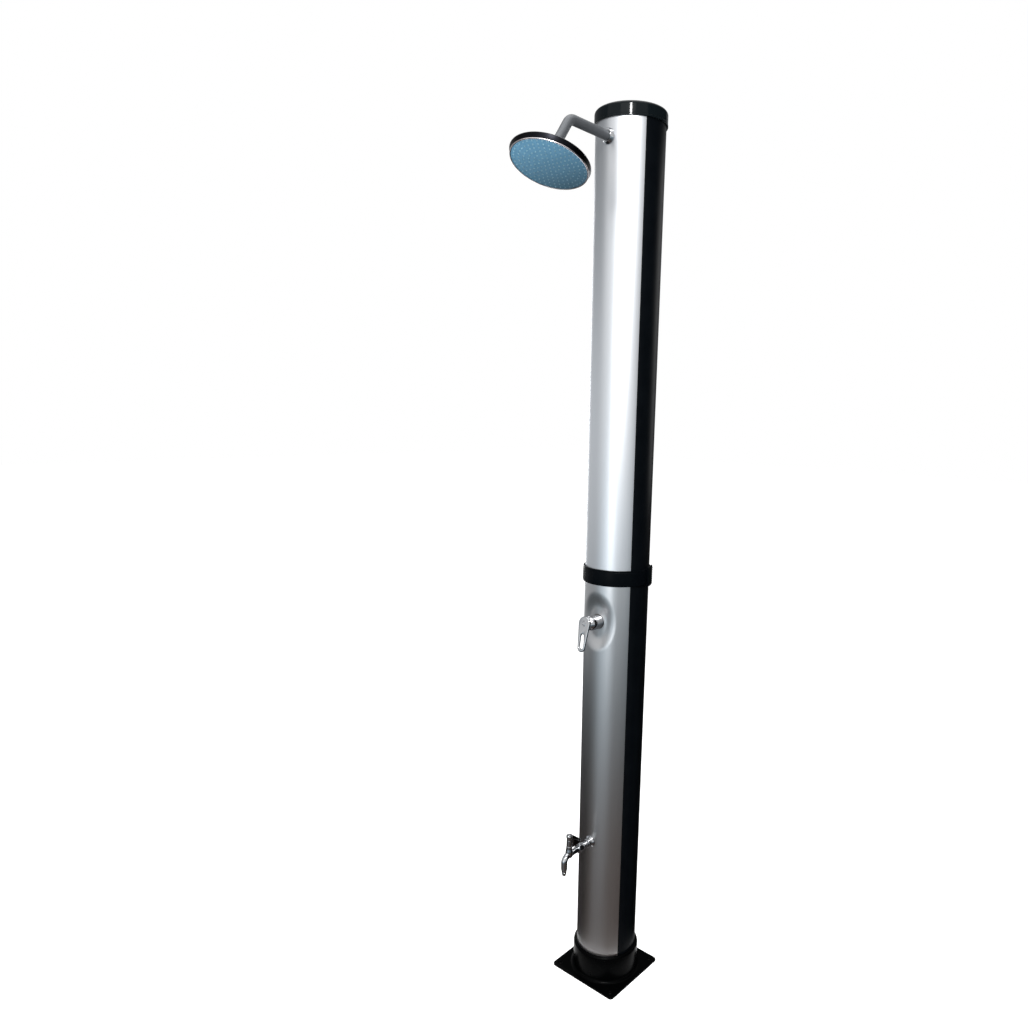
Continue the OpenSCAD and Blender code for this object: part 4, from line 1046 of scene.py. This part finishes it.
def buildTapBody():
    z = tap["height"]
    barrel = turned("barrel", [
        (0, -tap["low"], 0), (tap["barrel"] - 1.0, -tap["low"], 5), (tap["barrel"], 0, 8),
        (tap["barrel"], 9, 8), (tap["bonnet"] + 0.6, 17, 6), (tap["bonnet"] + 0.6, tap["high"], 0.6),
        (0, tap["high"], 0)],
        placeUp(tap["valve"], z))
    shank = turned("shank",
                   [(0, tap["nutTo"] - 2, 0), (tap["neck"], tap["nutTo"] - 2, 0), (tap["neck"] - 0.8, 146, 6),
                    (tap["neck"] + 0.6, tap["valve"], 0), (0, tap["valve"], 0)], placeFront(0, z))
    spout = bentTube("spout", tap["spout"], tap["valve"], z, bendOut - tap["spout"] - tap["valve"],
                     tap["bend"], 90, drop)
    body = castBlend(joined([barrel, shank, spout], "tapBody"), 0.55, 14)
    half = (tap["nutTo"] - tap["nutFrom"]) / 2
    nut = hexBlock("tapNut", tap["nut"], -half, half)
    settle(nut, placeFront((tap["nutTo"] + tap["nutFrom"]) / 2, z), 28)
    rear = turned("rearShank", [
        (0, tap["from"], 0), (tap["shank"], tap["from"], 0.4), (tap["shank"], tap["sleeveEnd"] + 0.2, 0),
        (tap["neck"], tap["sleeveEnd"] + 0.2, 0.3), (tap["neck"], 108, 0.3), (tap["neck"] + 1.4, 109, 0.4),
        (tap["neck"] + 1.4, 111.5, 0.4), (tap["neck"], 112.5, 0.3), (tap["neck"], tap["nutFrom"] + 1, 0),
        (0, tap["nutFrom"] + 1, 0)], placeFront(0, z))
    tapPiece = joined([body, nut, rear], "tapBody")
    settle(tapPiece, smoothAngle=34)
    return dress(tapPiece, "column", "chromeCast", "tap_body")


buildTapBody()
dress(turned("tapFlange", [
    (tap["shank"] + 0.2, 0, 0.2), (tap["flange"], 0, 0.2), (tap["flange"], 1.2, 0.6),
    (tap["sleeve"] + 0.4, tap["flangeThick"], 3.0), (tap["sleeve"], tap["sleeveEnd"] - tap["face"], 1.2),
    (tap["shank"] + 0.2, tap["sleeveEnd"] - tap["face"], 0.3)], placeFront(tap["face"], tap["height"]),
    closed=True), "column", "chromeCast", "tap_flange")
dress(turned("tapBonnet", [
    (tap["stem"], 0, 0), (tap["bonnet"], 0, 0.2), (tap["bonnet"], tap["bonnetHigh"], 0.5),
    (tap["stem"], tap["bonnetHigh"], 0.2)], placeUp(tap["valve"], tap["height"] + tap["high"]), closed=True),
    "column", "chromeCast", "tap_bonnet")
dress(turned("tapNozzle", [
    (2.25, 2, 0), (3.2, 0, 0.3), (4.5, 0, 0.4), (5.3, 5, 0.4), (6.0, 5.4, 0.3), (6.5, 9.5, 0.3),
    (6.0, 10, 0.3), (7.0, 14, 0.5), (7.7, tap["nozzleLong"], 0.2), (2.25, tap["nozzleLong"], 0)],
    placeUp(spoutOut, tap["mouth"]), closed=True, steps=3), "column", "chromeCast", "tap_nozzle")


def buildHandle():
    hub = turned("hub", [
        (0, 0.4, 0), (tap["bonnet"] - 0.4, 0.4, 0.8), (tap["bonnet"] - 0.2, 4, 5),
        (tap["hub"], tap["hubHigh"] - 1, 2.2), (tap["hub"] - 1.2, tap["hubHigh"], 1.2),
        (0, tap["hubHigh"], 0)])
    middle = tap["hubHigh"] / 2
    side = [(0, tap["hubHigh"] - tap["blade"] - 2), (tap["reach"] - 0.6, middle - tap["fall"] + 0.4),
            (tap["reach"] - 0.6, middle - tap["fall"] + tap["blade"] - 0.6),
            (tap["hub"], tap["hubHigh"] - 0.9), (0, tap["hubHigh"] - 0.9)]
    blade = slab("blade", side, tap["wide"] - 0.8, 1.6)
    # the slab lies in XZ with its thickness along -Y, and the blade runs to the column
    fixPlace(blade, spun(90, "Z") @ shifted(0, (tap["wide"] - 0.8) / 2, 0))
    web = slab("web", [(tap["webFrom"], tap["webLow"]), (tap["reach"] - 1.4, tap["webLow"] + 1.2),
                       (tap["reach"] - 1.4, middle - tap["fall"] + 3),
                       (tap["webFrom"] - 4, tap["hubHigh"] - tap["blade"]), (tap["webFrom"] - 4, 1),
                       (tap["webFrom"], 1)], tap["webWide"], 1.2)
    fixPlace(web, spun(90, "Z") @ shifted(0, tap["webWide"] / 2, 0))
    handle = castBlend(joined([hub, blade, web], "tapHandle"), 0.4, 3)
    bore = stepped(-2, (tap["stem"], middle + 0.2), (tap["screw"], tap["hubHigh"] + 3))
    cutWith(handle, turned("bore", bore, segments=48))
    settle(handle, placeUp(tap["valve"], hubFoot), 40)
    return dress(handle, "tap_turner", "chromeCast", "tap_handle")


buildHandle()
dress(turned("tapScrew", [
    (0, 0.4, 0), (1.6, 0.4, 0), (1.6, tap["hubHigh"] + 0.2, 0), (3.4, tap["hubHigh"] + 0.2, 0.2),
    (3.4, tap["hubHigh"] + 1.2, 0.5), (2.2, tap["hubHigh"] + 2.0, 1), (0, tap["hubHigh"] + 2.0, 0)],
    placeUp(tap["valve"], hubFoot), segments=48), "tap_turner", "stainless", "tap_screw")
print("tap done")

# hose inlet and drain at the rear

inlet = {"height": 115, "face": 82.7, "shank": 10.5, "tail": 25, "bore": 7, "flange": 16, "flangeThick": 5,
         "thread": 13.2, "threadLong": 14, "pitch": 1.8, "depth": 1.1, "drainAt": 178, "drain": 8,
         "drainHead": 12, "drainThick": 6, "hexLow": (0.6, 1.2)}


def buildInlet():
    hexagon = hexBlock("inletHex", inlet["flange"], 0, inlet["flangeThick"], inlet["hexLow"])
    end = inlet["flangeThick"] + inlet["threadLong"]
    profile = [(inlet["bore"], -inlet["tail"], 0), (inlet["shank"], -inlet["tail"], 0.4),
               (inlet["shank"], 0.5, 0)]
    z = inlet["flangeThick"] - 0.5
    profile += [(inlet["thread"] - inlet["depth"], 0.5, 0), (inlet["thread"] - inlet["depth"], z + 1.4, 0)]
    z += 1.4
    while z + inlet["pitch"] < end - 1:
        profile += [(inlet["thread"], z + inlet["pitch"] * 0.45, 0.15),
                    (inlet["thread"] - inlet["depth"], z + inlet["pitch"] * 0.95, 0.15)]
        z += inlet["pitch"]
    profile += [(inlet["thread"] - inlet["depth"], end, 0.4), (inlet["bore"], end, 0.4)]
    bolt = turned("inletThread", profile, closed=True, steps=3)
    cutWith(hexagon, turned("bore", stepped(-2, (inlet["thread"] - 2, 9))))
    piece = joined([hexagon, bolt], "inletConnector")
    settle(piece, placeRear(inlet["face"], inlet["height"]), 30)
    return dress(piece, "column", "castBrass", "inlet_connector")


def buildDrain():
    hexagon = hexBlock("drainHex", inlet["drainHead"], 0, inlet["drainThick"], inlet["hexLow"])
    stem = turned("drainStem",
                  [(0, -11, 0), (inlet["drain"] - 0.1, -11, 0.6), (inlet["drain"] - 0.1, 1, 0), (0, 1, 0)])
    piece = joined([hexagon, stem], "drainPlug")
    settle(piece, placeRear(inlet["face"], inlet["drainAt"]), 30)
    return dress(piece, "column", "darkPlug", "drain_plug")


buildInlet()
buildDrain()
print("rear fittings done")

# floor, light and camera, in metres

# the near-black tone under the foot plate is a painted shadow
studio = {"floor": (0.86, 0.86, 0.86), "floorGlow": 0.48, "wide": 40, "room": 0.67, "underPlate": 0.102,
          "plateShadowTone": (0.01, 0.01, 0.01), "cardTint": (0.97, 1, 1.03)}


def seenRays(tree):
    path = tree.nodes.new("ShaderNodeLightPath")
    seen = mathNode(tree, "MAXIMUM", path.outputs["Is Camera Ray"], path.outputs["Is Glossy Ray"])
    return mathNode(tree, "MAXIMUM", seen, path.outputs["Is Transmission Ray"])


def bareTree(name, piece):
    # a new material on a stage piece, with nothing in its tree yet
    material = bpy.data.materials.new(name)
    material.use_nodes = True
    material.node_tree.nodes.clear()
    piece.data.materials.clear()
    piece.data.materials.append(material)
    return material.node_tree


def glowing(tree, colour, strength):
    glow = tree.nodes.new("ShaderNodeEmission")
    feed(tree, colour, glow.inputs["Color"])
    feed(tree, strength, glow.inputs["Strength"])
    return glow.outputs[0]


def surface(tree, *shaders):
    # the material's surface from one shader or from the sum of two
    last = shaders[0]
    if len(shaders) > 1:
        both = tree.nodes.new("ShaderNodeAddShader")
        for shader, socket in zip(shaders, both.inputs):
            tree.links.new(shader, socket)
        last = both.outputs[0]
    tree.links.new(last, tree.nodes.new("ShaderNodeOutputMaterial").inputs["Surface"])


def buildFloor():
    # painted shadow: the ground is coloured near black under the foot plate, where its bolt holes show it,
    # and gives no glow there
    clearSelection()
    bpy.ops.mesh.primitive_plane_add(size=studio["wide"], location=(0, 0, 0))
    tree = bareTree("paleFloor", named("studioFloor"))
    spot = splitAxes(tree, placed(tree))
    away = mathNode(tree, "MAXIMUM", mathNode(tree, "ABSOLUTE", spot["X"]),
                    mathNode(tree, "ABSOLUTE", spot["Y"]))
    bare = mathNode(tree, "GREATER_THAN", away, studio["underPlate"])
    lit = tree.nodes.new("ShaderNodeBsdfDiffuse")
    tree.links.new(blendColour(tree, bare, studio["plateShadowTone"], studio["floor"]), lit.inputs["Color"])
    shown = mathNode(tree, "MULTIPLY", seenRays(tree), bare)
    glow = glowing(tree, (1, 1, 1), mathNode(tree, "MULTIPLY", shown, studio["floorGlow"]))
    surface(tree, lit.outputs[0], glow)


def buildWorld():
    world = bpy.data.worlds.new("studioWorld")
    bpy.context.scene.world = world
    world.use_nodes = True
    tree = world.node_tree
    background = next(n for n in tree.nodes if n.type == "BACKGROUND")
    tree.links.new(mathNode(tree, "MAXIMUM", seenRays(tree), studio["room"]), background.inputs["Strength"])
    background.inputs["Color"].default_value = (1, 1, 1, 1)
    world.cycles.sampling_method = "NONE"


cards = {
    "ground": {"from": 165, "to": 10000, "height": 2, "shade": 0.09, "shadeWay": (-105, 0.1, 0.7),
               "behind": 0.06, "behindWay": (170, 0.1, 0.45), "beamWay": (3, 0.83, 0.985), "mix": (0.7, 2),
               "tones": ((0.2, 0.105), (1.2, 0.12), (2.0, 0.155), (2.8, 0.22), (4.3, 0.5), (5.8, 0.57),
                         (7.5, 0.74)),
               "beam": ((0.2, 0.05), (0.8, 0.11), (1.1, 0.14), (1.8, 0.21), (2.8, 0.33), (4.3, 0.9),
                        (7, 0.95)),
               "warm": (1.0, 0.78, 0.69), "cool": (0.84, 1.0, 1.11)},
    "left": {"azimuth": -87, "distance": 2.8, "wide": 6.0, "from": -0.1, "to": 4.6,
             "tones": ((0, 0.27), (0.35, 0.55), (0.9, 0.72), (1.45, 0.85), (2.0, 0.66), (2.6, 0.36),
                       (3.0, 0.26))},
    "right": {"azimuth": 137, "distance": 2.8, "wide": 6.4, "from": -0.1, "to": 4.6,
              "tones": ((0, 0.015), (2, 0.02))},
    "rear": {"azimuth": 203, "distance": 2.9, "wide": 2.8, "from": -0.1, "to": 4.6,
             "tones": ((0, 0.03), (1.0, 0.06), (2.0, 0.22), (3.0, 0.35))},
}


def startCard(card):
    # a studio card that only polished surfaces see
    for kind in ("camera", "diffuse", "transmission", "volume_scatter", "shadow"):
        setattr(card, "visible_" + kind, False)
    return bareTree(card.name, card)


def rampTones(tree, value, marks, top, tint=(1, 1, 1)):
    # grey levels at marked distances or heights
    ramp = tree.nodes.new("ShaderNodeValToRGB")
    tree.links.new(ranged(tree, value, 0, top), ramp.inputs[0])
    stops = ramp.color_ramp.elements
    for i, (level, tone) in enumerate(marks):
        stop = stops[i] if i < 2 else stops.new(1)
        stop.position = level / top
        stop.color = (tone * tint[0], tone * tint[1], tone * tint[2], 1)
    return ramp.outputs["Color"]


def facing(tree, way, azimuth, low, high):
    # 0 to 1 by how well a direction from the column points to an azimuth
    dot = vectorNode(tree, "DOT_PRODUCT", way, onRing(azimuth, 1, 0))["Value"]
    return ranged(tree, dot, low, high)


def buildGroundCard():
    # darker near the column, on the left and behind, with a soft beam towards the front
    ground = cards["ground"]
    ring = [(ground["from"], ground["height"], 0), (ground["to"], ground["height"], 0)]
    tree = startCard(turned("groundCard", ring))
    place = placed(tree)
    away = vectorNode(tree, "LENGTH", place)["Value"]
    way = vectorNode(tree, "NORMALIZE", place)["Vector"]
    reach = ground["to"] * mm
    tone = rampTones(tree, away, ground["tones"], reach)
    shade = mathNode(tree, "MULTIPLY", facing(tree, way, *ground["shadeWay"]), ground["shade"])
    tone = mathNode(tree, "SUBTRACT", tone, shade, clamp=True)
    rear = ranged(tree, facing(tree, way, *ground["behindWay"]), 0, 1, 1, ground["behind"])
    beam = mathNode(tree, "MULTIPLY", facing(tree, way, *ground["beamWay"]),
                    rampTones(tree, away, ground["beam"], reach))
    colour = blendColour(tree, ranged(tree, away, *ground["mix"]), ground["warm"], ground["cool"])
    shades = glowing(tree, colour, mathNode(tree, "MULTIPLY", tone, rear))
    surface(tree, shades, glowing(tree, ground["cool"], beam))


def buildCards():
    buildGroundCard()
    for side in ("left", "right", "rear"):
        sizes = cards[side]
        clearSelection()
        spot = onRing(sizes["azimuth"], sizes["distance"], (sizes["from"] + sizes["to"]) / 2)
        bpy.ops.mesh.primitive_plane_add(size=1, location=spot,
                                         rotation=(math.radians(90), 0, math.radians(sizes["azimuth"])))
        piece = named(side + "Card")
        piece.scale = (sizes["wide"], sizes["to"] - sizes["from"], 1)
        applyPlace()
        tree = startCard(piece)
        height = splitAxes(tree, placed(tree))["Z"]
        tones = rampTones(tree, height, sizes["tones"], sizes["to"], studio["cardTint"])
        surface(tree, glowing(tree, tones, 1))


lamps = {
    "skyLight": {"azimuth": 27, "distance": 2.7, "height": 2.9, "aim": 1.9, "wide": 2.2, "high": 1.3,
                 "power": 16},
    "tallLight": {"azimuth": 13, "distance": 2.5, "height": 1.35, "aim": 1.3, "wide": 0.8, "high": 1.7,
                  "power": 8},
    "capLight": {"azimuth": 36, "distance": 3.0, "height": 3.15, "aim": 2.1, "wide": 0.26, "high": 0.9,
                 "power": 140},
    "rearFill": {"azimuth": 165, "distance": 2.6, "height": 1.9, "aim": 1.2, "wide": 1.2, "high": 1.8,
                 "power": 7},
    "backLight": {"azimuth": 241, "distance": 2.6, "height": 1.6, "aim": 1.2, "wide": 0.5, "high": 2.2,
                  "power": 12},
    "topLight": {"azimuth": 30, "distance": 0.3, "height": 4.2, "aim": 0, "wide": 2.4, "high": 2.4,
                 "power": 50},
}


def onRing(azimuth, distance, height):
    turn = math.radians(azimuth)
    return (distance * math.sin(turn), -distance * math.cos(turn), height)


def areaLight(name, sizes):
    clearSelection()
    spot = Vector(onRing(sizes["azimuth"], sizes["distance"], sizes["height"]))
    bpy.ops.object.light_add(type="AREA", location=spot)
    lamp = bpy.context.object
    lamp.name = name
    lamp.data.shape = "RECTANGLE"
    lamp.data.size = sizes["wide"]
    lamp.data.size_y = sizes["high"]
    lamp.data.energy = sizes["power"]
    lamp.rotation_euler = (Vector((0, 0, sizes["aim"])) - spot).to_track_quat("-Z", "Y").to_euler()
    lamp.visible_camera = False


# metres and radians, and pixels of the square photograph
shot = {"azimuth": 0.653963, "distance": 1.917359, "height": 1.509886, "heading": 0.691560,
        "pitch": 0.2005026, "roll": 0.0238727, "focal": 778.678, "middle": (588.445, 568.801), "wide": 1028,
        "sensor": 36}


def buildCamera():
    camera = bpy.data.cameras.new("photoCamera")
    rig = bpy.data.objects.new("photoCamera", camera)
    bpy.context.scene.collection.objects.link(rig)
    place = Matrix.Translation((shot["distance"] * math.sin(shot["azimuth"]),
                                -shot["distance"] * math.cos(shot["azimuth"]), shot["height"]))
    turn = (Matrix.Rotation(shot["heading"], 4, "Z") @ Matrix.Rotation(math.pi / 2 - shot["pitch"], 4, "X")
            @ Matrix.Rotation(shot["roll"], 4, "Z"))
    rig.matrix_world = place @ turn
    camera.sensor_width = shot["sensor"]
    camera.lens = shot["focal"] / shot["wide"] * shot["sensor"]
    camera.shift_x = 0.5 - shot["middle"][0] / shot["wide"]
    camera.shift_y = shot["middle"][1] / shot["wide"] - 0.5
    camera.clip_end = 100
    bpy.context.scene.camera = rig


buildFloor()
buildWorld()
buildCards()
for lampName, lampSizes in lamps.items():
    areaLight(lampName, lampSizes)
buildCamera()
bpy.context.scene.view_settings.view_transform = "Standard"
print("stage done")
